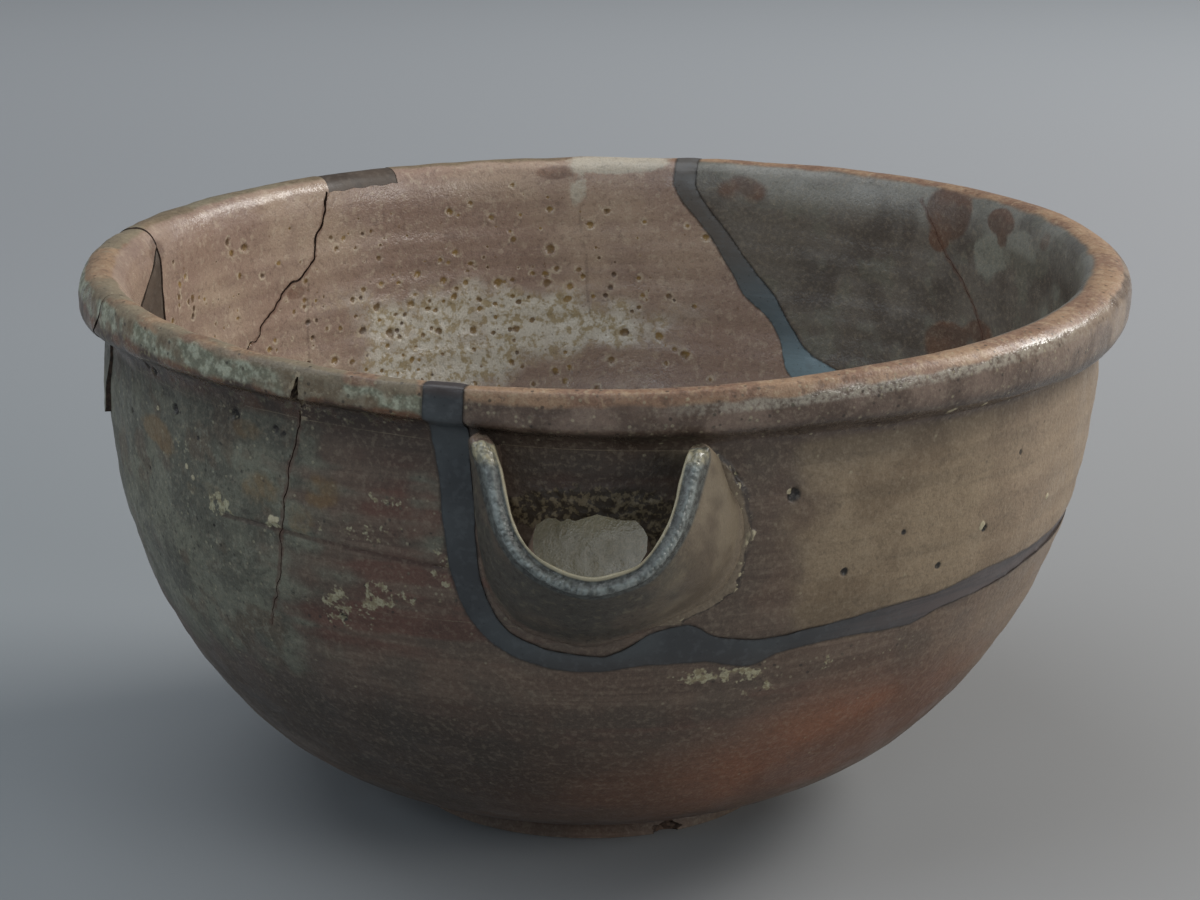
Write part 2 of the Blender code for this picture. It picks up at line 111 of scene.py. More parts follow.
HAIR_TWO = [(134.7, 124.0), (135.2, 110.0), (135.6, 96.0)]
HOLE = [(-97.6, 108.5, 112.0), (-96.9, 105.0, 117.1), (-95.9, 103.2, 118.7), (-94.0, 101.8, 119.4),
        (-92.0, 101.2, 119.8), (-90.6, 101.0, 120.5), (-88.6, 101.4, 119.2), (-86.8, 102.6, 119.3),
        (-85.7, 104.8, 116.0), (-85.0, 108.0, 112.6)]
SPOUT = [
    ((-24.6, 147.6, 140.4), (-103.3, 137.5), (-100.7, 137.5)),
    ((-22.9, 150.8, 136.0), (-103.3, 130.0), (-100.2, 131.0)),
    ((-21.5, 154.1, 129.8), (-103.1, 120.0), (-99.4, 122.0)),
    ((-19.4, 157.0, 123.0), (-102.7, 109.0), (-98.5, 114.0)),
    ((-16.0, 159.1, 117.8), (-101.6, 99.0), (-97.4, 107.5)),
    ((-11.3, 160.6, 114.0), (-99.2, 90.8), (-95.6, 103.0)),
    ((-5.0, 161.6, 111.2), (-95.5, 86.6), (-93.6, 101.0)),
    ((1.5, 162.0, 110.1), (-91.0, 84.8), (-91.2, 100.4)),
    ((7.6, 161.7, 111.3), (-86.8, 87.6), (-88.6, 101.0)),
    ((13.0, 160.8, 113.3), (-83.0, 91.8), (-86.4, 103.2)),
    ((17.0, 159.4, 117.2), (-79.8, 95.4), (-84.7, 107.0)),
    ((20.6, 157.4, 122.5), (-77.0, 101.0), (-83.3, 113.0)),
    ((22.8, 155.2, 128.0), (-75.6, 109.0), (-82.3, 120.5)),
    ((24.4, 152.2, 134.0), (-75.6, 119.0), (-81.6, 129.0)),
    ((25.8, 149.6, 138.8), (-77.8, 129.5), (-81.0, 136.0)),
]
SPOUT_CENTRE = (1.5, 135.0)
LIP = 2.7

# fine marks, azimuth, height, radius and depth: pits and bloats on the outside
PITS = [(-119.1, 86.8, 1.3, 0.9), (-143.5, 131.8, 1.5, 1.0), (-132.7, 136.0, 1.7, 1.0),
        (-126.8, 134.5, 1.2, 0.8), (-125.6, 134.0, 0.8, 0.5), (-70.0, 123.2, 2.0, 1.1),
        (-43.1, 103.1, 1.2, 0.7), (-63.1, 100.4, 1.3, 0.7), (-76.6, 129.7, 0.9, 0.5),
        (-148.0, 139.6, 1.4, 0.9), (-149.4, 140.4, 1.1, 0.8), (-155.0, 125.0, 0.9, 0.5),
        (-139.0, 126.5, 0.8, 0.5), (-150.5, 112.0, 0.8, 0.4), (-137.0, 104.0, 0.7, 0.4),
        (-56.0, 108.5, 0.9, 0.4), (-50.0, 96.4, 1.0, 0.5), (-38.0, 121.0, 0.8, 0.4)]
# raised bits of ash and flaked slip
FLECKS = [(-43.8, 104.2, 1.3, 0.35), (-29.5, 103.8, 0.8, 0.25), (-74.6, 113.8, 1.4, 0.5),
          (-70.6, 124.0, 0.9, 0.35), (-52.0, 139.4, 1.2, 0.3), (-47.4, 139.2, 0.8, 0.3),
          (-127.4, 110.6, 1.3, 0.5), (-126.6, 111.0, 0.8, 0.4), (-140.0, 115.5, 1.0, 0.4),
          (-141.2, 117.8, 0.8, 0.4), (-147.5, 130.0, 0.8, 0.35), (-102.8, 120.5, 1.2, 0.4)]
FLANK = [(-79.2, 136.0), (-77.5, 132.2), (-76.6, 129.6), (-75.9, 125.9), (-75.4, 122.0), (-75.0, 118.0),
         (-74.7, 114.0), (-74.9, 110.6), (-75.0, 107.4), (-75.3, 103.4), (-75.8, 99.4), (-77.4, 97.0),
         (-79.4, 94.0), (-81.4, 91.4)]
GROOVE = [(-136.0, 108.0), (-132.0, 108.3), (-126.4, 108.3), (-119.6, 107.4), (-111.5, 105.9),
          (-106.2, 104.8)]
GROOVE_LOW = [(-113.0, 99.2), (-106.8, 97.9)]
SCRATCH = [(-58.0, 77.6), (-47.0, 80.2), (-38.0, 82.4), (-30.0, 84.2)]


# ----------------------------------------------------------------------------
# numbers
# ----------------------------------------------------------------------------
def pchip(xs, ys, x):
    """Smooth monotone curve through control values; ys may hold one row per azimuth."""
    xs = np.asarray(xs, float)
    ys = np.asarray(ys, float)
    if ys.ndim == 1:
        ys = ys[None, :]
        flat = True
    else:
        flat = False
    h = np.diff(xs)
    s = np.diff(ys, axis=1) / h
    m = np.zeros_like(ys)
    w1 = 2 * h[1:] + h[:-1]
    w2 = h[1:] + 2 * h[:-1]
    a, b = s[:, :-1], s[:, 1:]
    same = a * b > 0
    safe_a = np.where(same, a, 1.0)
    safe_b = np.where(same, b, 1.0)
    m[:, 1:-1] = np.where(same, (w1 + w2) / (w1 / safe_a + w2 / safe_b), 0.0)
    m[:, 0], m[:, -1] = s[:, 0], s[:, -1]
    x = np.clip(np.asarray(x, float), xs[0], xs[-1])
    i = np.clip(np.searchsorted(xs, x, side="right") - 1, 0, len(xs) - 2)
    t = (x - xs[i]) / h[i]
    out = ((2 * t ** 3 - 3 * t ** 2 + 1) * ys[:, i] + (t ** 3 - 2 * t ** 2 + t) * h[i] * m[:, i]
           + (-2 * t ** 3 + 3 * t ** 2) * ys[:, i + 1] + (t ** 3 - t ** 2) * h[i] * m[:, i + 1])
    return out[0] if flat else out


def smooth(e0, e1, x):
    t = np.clip((np.asarray(x, float) - e0) / (e1 - e0), 0.0, 1.0)
    return t * t * (3 - 2 * t)


def around(values, azimuth):
    v = np.asarray(values, float)
    n = len(v)
    u = ((np.asarray(azimuth, float) + 180.0) % 360.0) / (360.0 / n)
    i = np.floor(u).astype(int)
    t = u - i
    a, b, c, d = v[(i - 1) % n], v[i % n], v[(i + 1) % n], v[(i + 2) % n]
    return 0.5 * (2 * b + (c - a) * t + (2 * a - 5 * b + 4 * c - d) * t * t
                  + (3 * b - a - 3 * c + d) * t ** 3)


def lattice(ix, iy, iz, seed):
    h = (ix * 374761393 + iy * 668265263 + iz * 1103515245 + seed * 974634777) & 0xFFFFFFFF
    h = ((h ^ (h >> 13)) * 1274126177) & 0xFFFFFFFF
    h = (h ^ (h >> 16)) & 0xFFFFFFFF
    return h / 2147483647.5 - 1.0


def noise(p, scale, seed=0):
    """Smooth noise from -1 to 1 at points in mm; scale is one size or one for each axis."""
    q = p / np.asarray(scale, float)
    i = np.floor(q).astype(np.int64)
    f = q - i
    f = f * f * f * (f * (f * 6 - 15) + 10)
    out = 0.0
    for dx in (0, 1):
        wx = f[:, 0] if dx else 1 - f[:, 0]
        for dy in (0, 1):
            wy = f[:, 1] if dy else 1 - f[:, 1]
            for dz in (0, 1):
                wz = f[:, 2] if dz else 1 - f[:, 2]
                out = out + wx * wy * wz * lattice(i[:, 0] + dx, i[:, 1] + dy, i[:, 2] + dz, seed)
    return out


def fractal(p, scale, octaves=3, seed=0):
    out, total = 0.0, 0.0
    for k in range(octaves):
        w = 0.55 ** k
        out = out + w * noise(p, np.asarray(scale, float) / 2 ** k, seed + 17 * k)
        total += w
    return out / total


def place(radius, azimuth, height):
    a = np.radians(azimuth)
    return np.stack([LEAN * height / HEIGHT + radius * np.cos(a), radius * np.sin(a),
                     height + 0 * a], -1)


def polar(p):
    """Azimuth, radius and height of points in mm, about the leaning axis."""
    x = p[:, 0] - LEAN * p[:, 2] / HEIGHT
    return np.degrees(np.arctan2(p[:, 1], x)), np.hypot(x, p[:, 1]), p[:, 2]


def wall_radius(z):
    return pchip([t[0] for t in WALL], [t[1] for t in WALL], z)


def inside_radius(z):
    return pchip([t[0] for t in INSIDE], [t[1] for t in INSIDE], z)


# section of the turned wall: from the outer foot over the rim to the middle of the floor
SECTION = ([(BASE_RADIUS, 0.0), (BASE_RADIUS - 0.4, 2.6), (BASE_RADIUS - 1.0, 5.4)]
           + [(r, z) for z, r in WALL] + ROLL + [(r, z) for z, r in reversed(INSIDE)])
SR = np.array([s[0] for s in SECTION], float)
SZ = np.array([s[1] for s in SECTION], float)
ST = np.concatenate([[0.0], np.cumsum(np.hypot(np.diff(SR), np.diff(SZ)))])
T_WALL = ST[3]                               # start of the wall
T_ROLL = ST[3 + len(WALL) - 1]               # wall meets roll
T_LIP = ST[3 + len(WALL) + len(ROLL) - 1]    # roll meets inner wall
T_END = ST[-1]


def bent(r, z, a):
    upper = np.clip((z - 60.0) / 94.0, 0, None) ** 1.5
    upper = np.minimum(upper, 1.0)
    oval = 1.0 + OVAL * np.cos(np.radians(2 * (a - OVAL_AT))) * np.clip(z / 60.0, 0, 1)
    out = around(OUT_OF_ROUND, a) * upper
    lift = around(RIM_LIFT, a) * upper
    top = np.clip((z - 146.0) / 6.0, 0, 1) * np.clip((145.0 - r) / 6.0, 0, 1)
    under = np.clip((147.0 - z) / 8.0, 0, 1) * np.clip((r - 136.5) / 3.0, 0, 1) * (z > 135.0)
    return (r * oval + out + around(APEX_OUT, a) * top,
            z + lift + around(ROLL_LIFT, a) * under)


def surface(t, azimuths):
    """Points of the turned form, one row for each azimuth and one column for each t."""
    a = np.asarray(azimuths, float)[:, None]
    rr, zz = bent(SR[None, :] + 0 * a, SZ[None, :] + 0 * a, a + 0 * SR[None, :])
    r = pchip(ST, rr, t)
    z = pchip(ST, zz, t)
    return place(r, a + 0 * r, z)


# ----------------------------------------------------------------------------
# marks: where each kind of surface lies
# ----------------------------------------------------------------------------
def near(a, a0):
    return (a - a0 + 180.0) % 360.0 - 180.0


def blob(a, z, a0, z0, wa, wz, hard=0.5):
    d = np.hypot(near(a, a0) / wa, (z - z0) / wz)
    return 1.0 - smooth(hard, 1.35, d)


def offset_from(path, a, z, upright=True):
    """Signed distance in mm from a path and how far along it holds (1 on it, 0 past its ends)."""
    pa = np.array([q[0] for q in path], float)
    pz = np.array([q[1] for q in path], float)
    if upright:
        order = np.argsort(pz)
        at = np.interp(z, pz[order], pa[order])
        d = np.radians(near(a, at)) * 132.0
        hold = smooth(pz.min() - 1.5, pz.min() + 1.0, z) * (1 - smooth(pz.max() - 0.5, pz.max() + 1.5, z))
    else:
        order = np.argsort(pa)
        at = np.interp(a, pa[order], pz[order])
        d = z - at
        hold = smooth(pa.min() - 1.0, pa.min() + 0.8, a) * (1 - smooth(pa.max() - 0.8, pa.max() + 1.0, a))
    return d, hold


def dense(path, step=1.2, jitter=0.0, seed=1, radius=137.0):
    """A break line followed closely, a little rough."""
    u = np.radians([q[0] for q in path]) * radius
    z = np.array([q[1] for q in path], float)
    s = np.concatenate([[0.0], np.cumsum(np.hypot(np.diff(u), np.diff(z)))])
    n = max(2, int(s[-1] / step))
    k = np.linspace(0, s[-1], n + 1)
    uu, zz = pchip(s, u, k), pchip(s, z, k)
    if jitter:
        p = np.stack([k, 0 * k, 0 * k], -1)
        j = noise(p, 2.6, seed) * 0.6 + noise(p, 6.5, seed + 5) * 1.0
        du, dz = np.gradient(uu), np.gradient(zz)
        L = np.hypot(du, dz)
        fade = np.minimum(1.0, np.minimum(k, s[-1] - k) / 4.0)
        uu = uu - dz / L * j * jitter * fade
        zz = zz + du / L * j * jitter * fade
    return np.stack([np.degrees(uu / radius), zz], -1)


def path_distance(path, a, z, radius=135.0):
    """Distance in mm on the wall from points to a break line."""
    u, v = np.radians(a) * radius, z
    pu, pv = np.radians(path[:, 0]) * radius, path[:, 1]
    best = np.full(len(u), 1e9)
    for i in range(len(pu) - 1):
        bu, bv = pu[i + 1] - pu[i], pv[i + 1] - pv[i]
        L = bu * bu + bv * bv
        if L == 0:
            continue
        t = np.clip(((u - pu[i]) * bu + (v - pv[i]) * bv) / L, 0, 1)
        d = np.hypot(u - pu[i] - t * bu, v - pv[i] - t * bv)
        best = np.minimum(best, d)
    return best


def craters():
    """Burst bubbles in the glaze inside, more and larger where the ash lay thick."""
    rng = np.random.default_rng(7)
    out = [(97.5, 126.0, 1.7, 0.5), (123.5, 112.5, 1.5, 0.45), (121.5, 103.5, 1.6, 0.45),
           (91.9, 133.6, 1.2, 0.6), (134.4, 106.5, 1.0, 0.45), (135.2, 111.5, 1.1, 0.5),
           (135.5, 99.0, 1.0, 0.4), (131.0, 98.0, 1.5, 0.4), (112.0, 140.0, 1.1, 0.4),
           (106.0, 137.0, 1.1, 0.4), (103.0, 147.0, 0.8, 0.3), (146.5, 139.5, 1.5, 0.5),
           (150.0, 142.6, 1.2, 0.4), (159.0, 124.5, 1.0, 0.4), (160.5, 137.0, 0.9, 0.4),
           (142.5, 106.0, 1.1, 0.4), (148.5, 118.5, 0.9, 0.4), (89.6, 138.0, 1.0, 0.4),
           (86.5, 99.0, 1.5, 0.3), (81.5, 98.0, 1.5, 0.3), (77.5, 92.5, 1.5, 0.3),
           (113.0, 118.0, 1.3, 0.35), (105.0, 116.0, 1.4, 0.35), (117.0, 121.0, 1.2, 0.35)]
    want = 360
    tries = 0
    while len(out) < want and tries < 9000:
        tries += 1
        a = rng.uniform(64.0, 196.0)
        z = rng.uniform(70.0, 147.0)
        # thick in the middle of the wall at the back left, thin near the lip and to the right
        p = 0.30 + 0.55 * math.exp(-((a - 122) / 30) ** 2) * math.exp(-((z - 104) / 22) ** 2)
        p *= 1.0 - 0.55 * (z > 140)
        if a < 82:
            p *= 0.35
        if a > 172:
            p *= 0.6
        if rng.random() > p:
            continue
        if 166 < a < 187 and z < 148:
            continue
        r = 0.42 + 0.75 * rng.random() ** 2.4 + (0.40 if (84 < a < 132 and z < 120) else 0.0)
        if any(abs(a - q[0]) * 2.3 < (r + q[2]) and abs(z - q[1]) < (r + q[2]) for q in out):
            continue
        out.append((a, z, r, 0.18 + 0.2 * rng.random()))
    return np.array(out)


CRATERS = craters()


def dents(a, z, table, radius):
    """Nearest dent: its distance over its radius, and its depth."""
    best = np.full(len(a), 9.0)
    depth = np.zeros(len(a))
    size = np.zeros(len(a))
    for ca, cz, cr, cd in table:
        m = (np.abs(z - cz) < 3.2 * cr) & (np.abs(near(a, ca)) < 3.2 * cr / radius * 57.3)
        if not m.any():
            continue
        t = np.hypot(np.radians(near(a[m], ca)) * radius, z[m] - cz) / cr
        idx = np.nonzero(m)[0]
        better = t < best[idx]
        best[idx[better]] = t[better]
        depth[idx[better]] = cd
        size[idx[better]] = cr
    return best, depth, size


def relief(p, a, z, t, fine=True):
    """How far the surface stands off its turned form, in mm, at each point."""
    d = np.zeros(len(a))
    out = (t > T_WALL) & (t < T_ROLL + 2.0)
    roll = (t >= T_ROLL) & (t <= T_LIP)
    ins = t > T_LIP - 2.0
    # outside wall: throwing ridges that climb a little, and soft unevenness
    turn = z + 3.0 * np.sin(np.radians(a) + 0.7) + 0.02 * a
    ridge = (0.13 * np.sin(2 * np.pi * turn / 20.5 + 0.9 * noise(p, 60, 3))
             + 0.085 * np.sin(2 * np.pi * turn / 8.3 + 2.0 * noise(p, 50, 4))
             + 0.035 * np.sin(2 * np.pi * turn / 3.4 + 2.5 * noise(p, 40, 5)))
    keep = smooth(8, 24, z) * (1 - smooth(124, 136, z))
    d += np.where(out, ridge * keep * (0.75 + 0.5 * noise(p, 70, 6)), 0)
    d += np.where(t < T_LIP, 0.24 * fractal(p, 48, 2, 8) * smooth(4, 20, z), 0)
    d += np.where(t < T_LIP, 0.10 * fractal(p, (9, 9, 6), 2, 9) * smooth(4, 12, z), 0)
    # ash crust on the left wall and on the roll
    crust = (1 - smooth(-128, -106, np.where(a > 100, a - 360, a))) * smooth(40, 80, z)
    crust = np.maximum(crust, 0.75 * roll)
    d += np.where(t < T_LIP, 0.10 * fractal(p, 3.4, 2, 11) * crust, 0)
    left_rim = roll * (1 - smooth(-108, -96, np.where(a > 60, a - 360, a)))
    d += 0.34 * fractal(p, (7, 7, 5), 3, 12) * left_rim
    d += np.where(roll, 0.24 * fractal(p, (26, 26, 14), 2, 13), 0)
    # groove and ridge at the left, low scratch at the right
    g, hold = offset_from(GROOVE, a, z, upright=False)
    hold = np.where(out, hold, 0)
    d -= 0.62 * hold * np.exp(-(g / 0.62) ** 2) * (0.7 + 0.5 * noise(p, 7, 15))
    d += 0.30 * hold * np.exp(-((g - 1.7) / 1.0) ** 2)
    g, hold = offset_from(GROOVE_LOW, a, z, upright=False)
    d -= 0.35 * np.where(out, hold, 0) * np.exp(-(g / 0.5) ** 2)
    g, hold = offset_from(SCRATCH, a, z, upright=False)
    d -= 0.35 * np.where(out, hold, 0) * np.exp(-(g / 0.5) ** 2)
    q, depth, _ = dents(a, z, PITS, 139.0)
    q = q + 0.22 * noise(p, 1.3, 19)
    d -= np.where(t < T_LIP - 4, depth * np.clip(1 - q * q, 0, 1) ** 0.7, 0)
    q, depth, _ = dents(a, z, FLECKS, 139.0)
    q = q + 0.35 * noise(p, 1.1, 23)
    d += np.where(t < T_LIP - 4, depth * np.clip(1 - q, 0, 1) ** 0.5, 0)
    # clay smeared from the spout over the wall, with a ragged edge
    g, hold = offset_from(FLANK, a, z)
    g = g + 0.7 * noise(p, 3.2, 25) + 0.4 * noise(p, 1.4, 26)
    hold = np.where(out, hold, 0)
    d += hold * (0.75 * (1 - smooth(-0.3, 0.5, g)) * smooth(-9, -1, g) + 0.25 * np.exp(-(g / 0.7) ** 2))
    # crust round the hole behind the spout
    rag = blob(a, z, -91.5, 122.5, 9.5, 5.5) + 0.8 * blob(a, z, -83.9, 113.0, 2.6, 6.0)
    d += np.where(out, rag * (0.35 + 0.55 * fractal(p, 2.6, 2, 29)), 0)
    # inside
    ridge = (0.12 * np.sin(2 * np.pi * turn / 16.0 + 1.2 * noise(p, 55, 31))
             + 0.06 * np.sin(2 * np.pi * turn / 6.4 + 2.0 * noise(p, 45, 33)))
    d += np.where(ins, ridge * (1 - smooth(136, 146, z)) * smooth(14, 30, z), 0)
    d += np.where(ins, 0.22 * fractal(p, 34, 2, 37), 0)
    ashy = cream_inside(p, a, z)
    d += np.where(ins, 0.22 * ashy * fractal(p, 4.5, 2, 41), 0)
    q, depth, size = dents(a, z, CRATERS, 128.0)
    q = q + 0.30 * noise(p, 1.5, 43) + 0.15 * noise(p, 0.8, 44)
    bowl_in = np.clip(1 - q * q, 0, 1) ** 0.8
    lip_up = np.exp(-((q - 1.25) / 0.30) ** 2) * 0.22
    d += np.where(ins, depth * (-bowl_in + lip_up), 0)
    return d


def cream_inside(p, a, z):
    """Cover of pale ash inside, strongest low at the back left."""
    n = fractal(p, (16, 16, 9), 3, 51)
    c = (0.85 * blob(a, z, 116, 88, 15, 17, 0.3) + 0.60 * blob(a, z, 106, 104, 24, 15, 0.2)
         + 0.42 * blob(a, z, 90, 102, 22, 14, 0.2) + 0.25 * blob(a, z, 122, 116, 22, 14, 0.2))
    pool = 1 - smooth(52, 82, z + 10 * n)
    return np.clip(np.maximum(c * (1.0 + 0.7 * n), pool), 0, 1)


# ----------------------------------------------------------------------------
# meshes
# ----------------------------------------------------------------------------
def grid_shell(out_az, out_t, in_az, in_t, lift=None, refine=()):
    """Closed turned shell with its relief; returns vertices and faces in mm."""
    verts, faces, info = [], [], []

    def add(points, a, t):
        start = sum(len(v) for v in verts)
        verts.append(points.reshape(-1, 3))
        info.append(np.stack([np.broadcast_to(a, points.shape[:-1]).reshape(-1),
                              np.broadcast_to(t, points.shape[:-1]).reshape(-1)], -1))
        return start

    def band(start, n_az, n_t):
        j = np.arange(n_az)[:, None]
        k = np.arange(n_t - 1)[None, :]
        n = (j + 1) % n_az
        a0 = start + j * n_t + k
        b0 = start + n * n_t + k
        return np.stack([a0, b0, b0 + 1, a0 + 1], -1).reshape(-1, 4)

    na, nt = len(out_az), len(out_t)
    ni, mt = len(in_az), len(in_t)
    so = add(surface(out_t, out_az), np.asarray(out_az)[:, None], np.asarray(out_t)[None, :])
    si = add(surface(in_t, in_az), np.asarray(in_az)[:, None], np.asarray(in_t)[None, :])
    quads = [band(so, na, nt), band(si, ni, mt)]
    # base: rings to the middle
    rings = [1.0, 0.96, 0.9, 0.8, 0.6, 0.35]
    base_az = np.asarray(out_az)
    rim = surface(np.array([0.0]), base_az)[:, 0, :]
    rows = np.stack([rim * np.array([f, f, 1.0]) for f in rings[1:]], 1)
    rows[:, :, 2] = 0.0
    sb = add(rows, base_az[:, None], -np.arange(1, len(rings))[None, :] * 1.0)
    quads.append(band(sb, na, len(rings) - 1)[:, ::-1])
    first = so + np.arange(na) * nt
    inner = sb + np.arange(na) * (len(rings) - 1)
    nxt = np.roll(np.arange(na), -1)
    quads.append(np.stack([first, inner, inner[nxt], first[nxt]], -1))
    middle = add(np.array([[0.0, 0.0, 0.0]]), np.array([0.0]), np.array([-9.0]))
    last = sb + np.arange(na) * (len(rings) - 1) + len(rings) - 2
    tris = [np.stack([last, np.full(na, middle), last[nxt]], -1)]
    floor_mid = surface(np.array([T_END]), np.array([0.0]))[0, 0]
    top = add(floor_mid[None, :], np.array([0.0]), np.array([T_END]))
    last = si + np.arange(ni) * mt + mt - 1
    nxt = np.roll(np.arange(ni), -1)
    tris.append(np.stack([last, last[nxt], np.full(ni, top)], -1))
    # strip between the outer and the inner rings of the lip
    A, B = list(out_az) + [out_az[0] + 360], list(in_az) + [in_az[0] + 360]
    i = j = 0
    strip = []
    oa = lambda i: so + (i % na) * nt + nt - 1
    ob = lambda j: si + (j % ni) * mt
    while i < na or j < ni:
        if j >= ni or (i < na and A[i + 1] <= B[j + 1]):
            strip.append((oa(i), oa(i + 1), ob(j)))
            i += 1
        else:
            strip.append((oa(i), ob(j + 1), ob(j)))
            j += 1
    tris.append(np.array(strip))
    pts = np.concatenate(verts)
    inf = np.concatenate(info)
    mesh = bpy.data.meshes.new("shell")
    q = np.concatenate(quads)
    tr = np.concatenate(tris)
    faces = [tuple(f) for f in q.tolist()] + [tuple(f) for f in tr.tolist()]
    mesh.from_pydata(pts.tolist(), [], faces)
    mesh.attributes.new("az", 'FLOAT', 'POINT').data.foreach_set("value", inf[:, 0].astype(np.float32))
    mesh.attributes.new("tt", 'FLOAT', 'POINT').data.foreach_set("value", inf[:, 1].astype(np.float32))
    mesh.validate()
    if refine:
        bm = bmesh.new()
        bm.from_mesh(mesh)
        for chooser in refine:
            bm.faces.ensure_lookup_table()
            c = np.array([f.calc_center_median()[:] for f in bm.faces])
            a, r, z = polar(c)
            inward = r < 0.5 * (wall_radius(z) + inside_radius(z)) + (z > 136) * 2.0
            pick = chooser(a, z, inward)
            chosen = [bm.faces[k] for k in np.nonzero(pick)[0]]
            edges = list({e for f in chosen for e in f.edges})
            bmesh.ops.subdivide_edges(bm, edges=edges, cuts=1, use_grid_fill=True)
        bm.to_mesh(mesh)
        bm.free()
    n = len(mesh.vertices)
    p = np.zeros(n * 3, np.float32)
    mesh.vertices.foreach_get("co", p)
    p = p.reshape(-1, 3).astype(float)
    normals = np.zeros(n * 3, np.float32)
    mesh.vertex_normals.foreach_get("vector", normals)
    normals = normals.reshape(-1, 3).astype(float)
    if normals[np.argmax(p[:, 0])][0] < 0:
        normals = -normals
        mesh.flip_normals()
    t = np.zeros(n, np.float32)
    mesh.attributes["tt"].data.foreach_get("value", t)
    a, r, z = polar(p)
    t = t.astype(float)
    d = relief(p, a, z, t)
    if lift is not None:
        d = lift(p, a, z, t, d)
    d = np.where(t < 0.5, 0, d * np.clip(t / 6.0, 0, 1))
    d = d * np.where(t > T_END - 30, np.clip((T_END - t) / 30, 0, 1), 1)
    p = p + normals * d[:, None]
    p[:, 2] = np.maximum(p[:, 2], 0.0)
    mesh.vertices.foreach_set("co", p.astype(np.float32).reshape(-1))
    mesh.update()
    return mesh


def steps(parts):
    """Samples from (from, to, step) runs that follow each other."""
    out = []
    for lo, hi, step in parts:
        n = max(1, int(round((hi - lo) / step)))
        out += [lo + (hi - lo) * k / n for k in range(n)]
    return np.array(out)


def t_out(z):
    """Place along the section of a height on the outside wall."""
    zs = SZ[3:3 + len(WALL)]
    ts = ST[3:3 + len(WALL)]
    return float(np.interp(z, zs, ts))


def t_in(z):
    zs = SZ[3 + len(WALL) + len(ROLL):][::-1]
    ts = ST[3 + len(WALL) + len(ROLL):][::-1]
    return float(np.interp(z, zs, ts))


def link(name, mesh):
    obj = bpy.data.objects.new(name, mesh)
    bpy.context.scene.collection.objects.link(obj)
    return obj


def mark(mesh, value):
    att = mesh.attributes.get("cut") or mesh.attributes.new("cut", 'FLOAT', 'FACE')
    att.data.foreach_set("value", np.full(len(mesh.polygons), value, np.float32))


def prism(columns, inner=108.0, outer=176.0):
    """Closed block between two radii, given as (azimuth, bottom, top) columns."""
    c = np.asarray(columns, float)
    ring = [place(np.full(len(c), r), c[:, 0], c[:, k]) for r, k in
            ((inner, 1), (outer, 1), (outer, 2), (inner, 2))]
    pts = np.stack(ring, 1).reshape(-1, 3)
    faces = []
    for i in range(len(c) - 1):
        for k in range(4):
            n = (k + 1) % 4
            a, b, cc, d = 4 * i + k, 4 * i + n, 4 * i + 4 + n, 4 * i + 4 + k
            faces += [(a, b, cc), (a, cc, d)]
    m = 4 * (len(c) - 1)
    faces += [(3, 2, 1), (3, 1, 0), (m, m + 1, m + 2), (m, m + 2, m + 3)]
    return solid("cutter", pts, faces)


def solid(name, pts, faces):
    mesh = bpy.data.meshes.new(name)
    mesh.from_pydata(np.asarray(pts).tolist(), [], faces)
    bm = bmesh.new()
    bm.from_mesh(mesh)
    bmesh.ops.recalc_face_normals(bm, faces=bm.faces)
    bm.to_mesh(mesh)
    bm.free()
    mark(mesh, 1.0)
    return link(name, mesh)


def region(path, top=175.0):
    return [(a, z, top) for a, z in path]


def slit(path, widths, inner, outer, step=0.9, jitter=0.35, seed=3, point=False):
    """Narrow rough strip along a path, square right through or pointed at its depth."""
    R = 135.0
    u = np.radians([q[0] for q in path]) * R
    z = np.array([q[1] for q in path], float)
    s = np.concatenate([[0.0], np.cumsum(np.hypot(np.diff(u), np.diff(z)))])
    k = np.linspace(0, s[-1], max(4, int(s[-1] / step)))
    uu, zz = np.interp(k, s, u), np.interp(k, s, z)
    w = np.interp(k, s, widths) / 2.0
    p = np.stack([k, 0 * k, 0 * k], -1)
    du, dz = np.gradient(uu), np.gradient(zz)
    L = np.hypot(du, dz)
    nu, nz = -dz / L, du / L
    j = (noise(p, 1.9, seed) + 0.8 * noise(p, 4.6, seed + 3)) * jitter
    ja = j + noise(p, 1.3, seed + 7) * w * 0.35
    jb = j + noise(p, 1.3, seed + 9) * w * 0.35
    au, az_ = uu + nu * (ja + w), zz + nz * (ja + w)
    bu, bz = uu + nu * (jb - w), zz + nz * (jb - w)
    mu, mz = uu + nu * j, zz + nz * j
    get = lambda v, q: v(q) if callable(v) else np.full(len(q), float(v))
    deg = lambda q: np.degrees(q / R)
    if point:
        ring = [place(get(outer, zz), deg(au), az_), place(get(outer, zz), deg(bu), bz),
                place(get(inner, zz), deg(mu), mz)]
    else:
        ring = [place(get(outer, zz), deg(au), az_), place(get(outer, zz), deg(bu), bz),
                place(get(inner, zz), deg(bu), bz), place(get(inner, zz), deg(au), az_)]
    m = len(ring)
    pts = np.stack(ring, 1).reshape(-1, 3)
    faces = []
    for i in range(len(k) - 1):
        for q in range(m):
            n = (q + 1) % m
            a, b, c, d = m * i + q, m * i + n, m * i + m + n, m * i + m + q
            faces += [(a, b, c), (a, c, d)]
    e = m * (len(k) - 1)
    faces += [(m - 1, 1, 0), (e, e + 1, e + m - 1)]
    if m == 4:
        faces += [(3, 2, 1), (e + 1, e + 2, e + 3)]
        faces[-4:-2] = [(3, 1, 0), (e, e + 1, e + 3)]
    return solid("cutter", pts, faces)


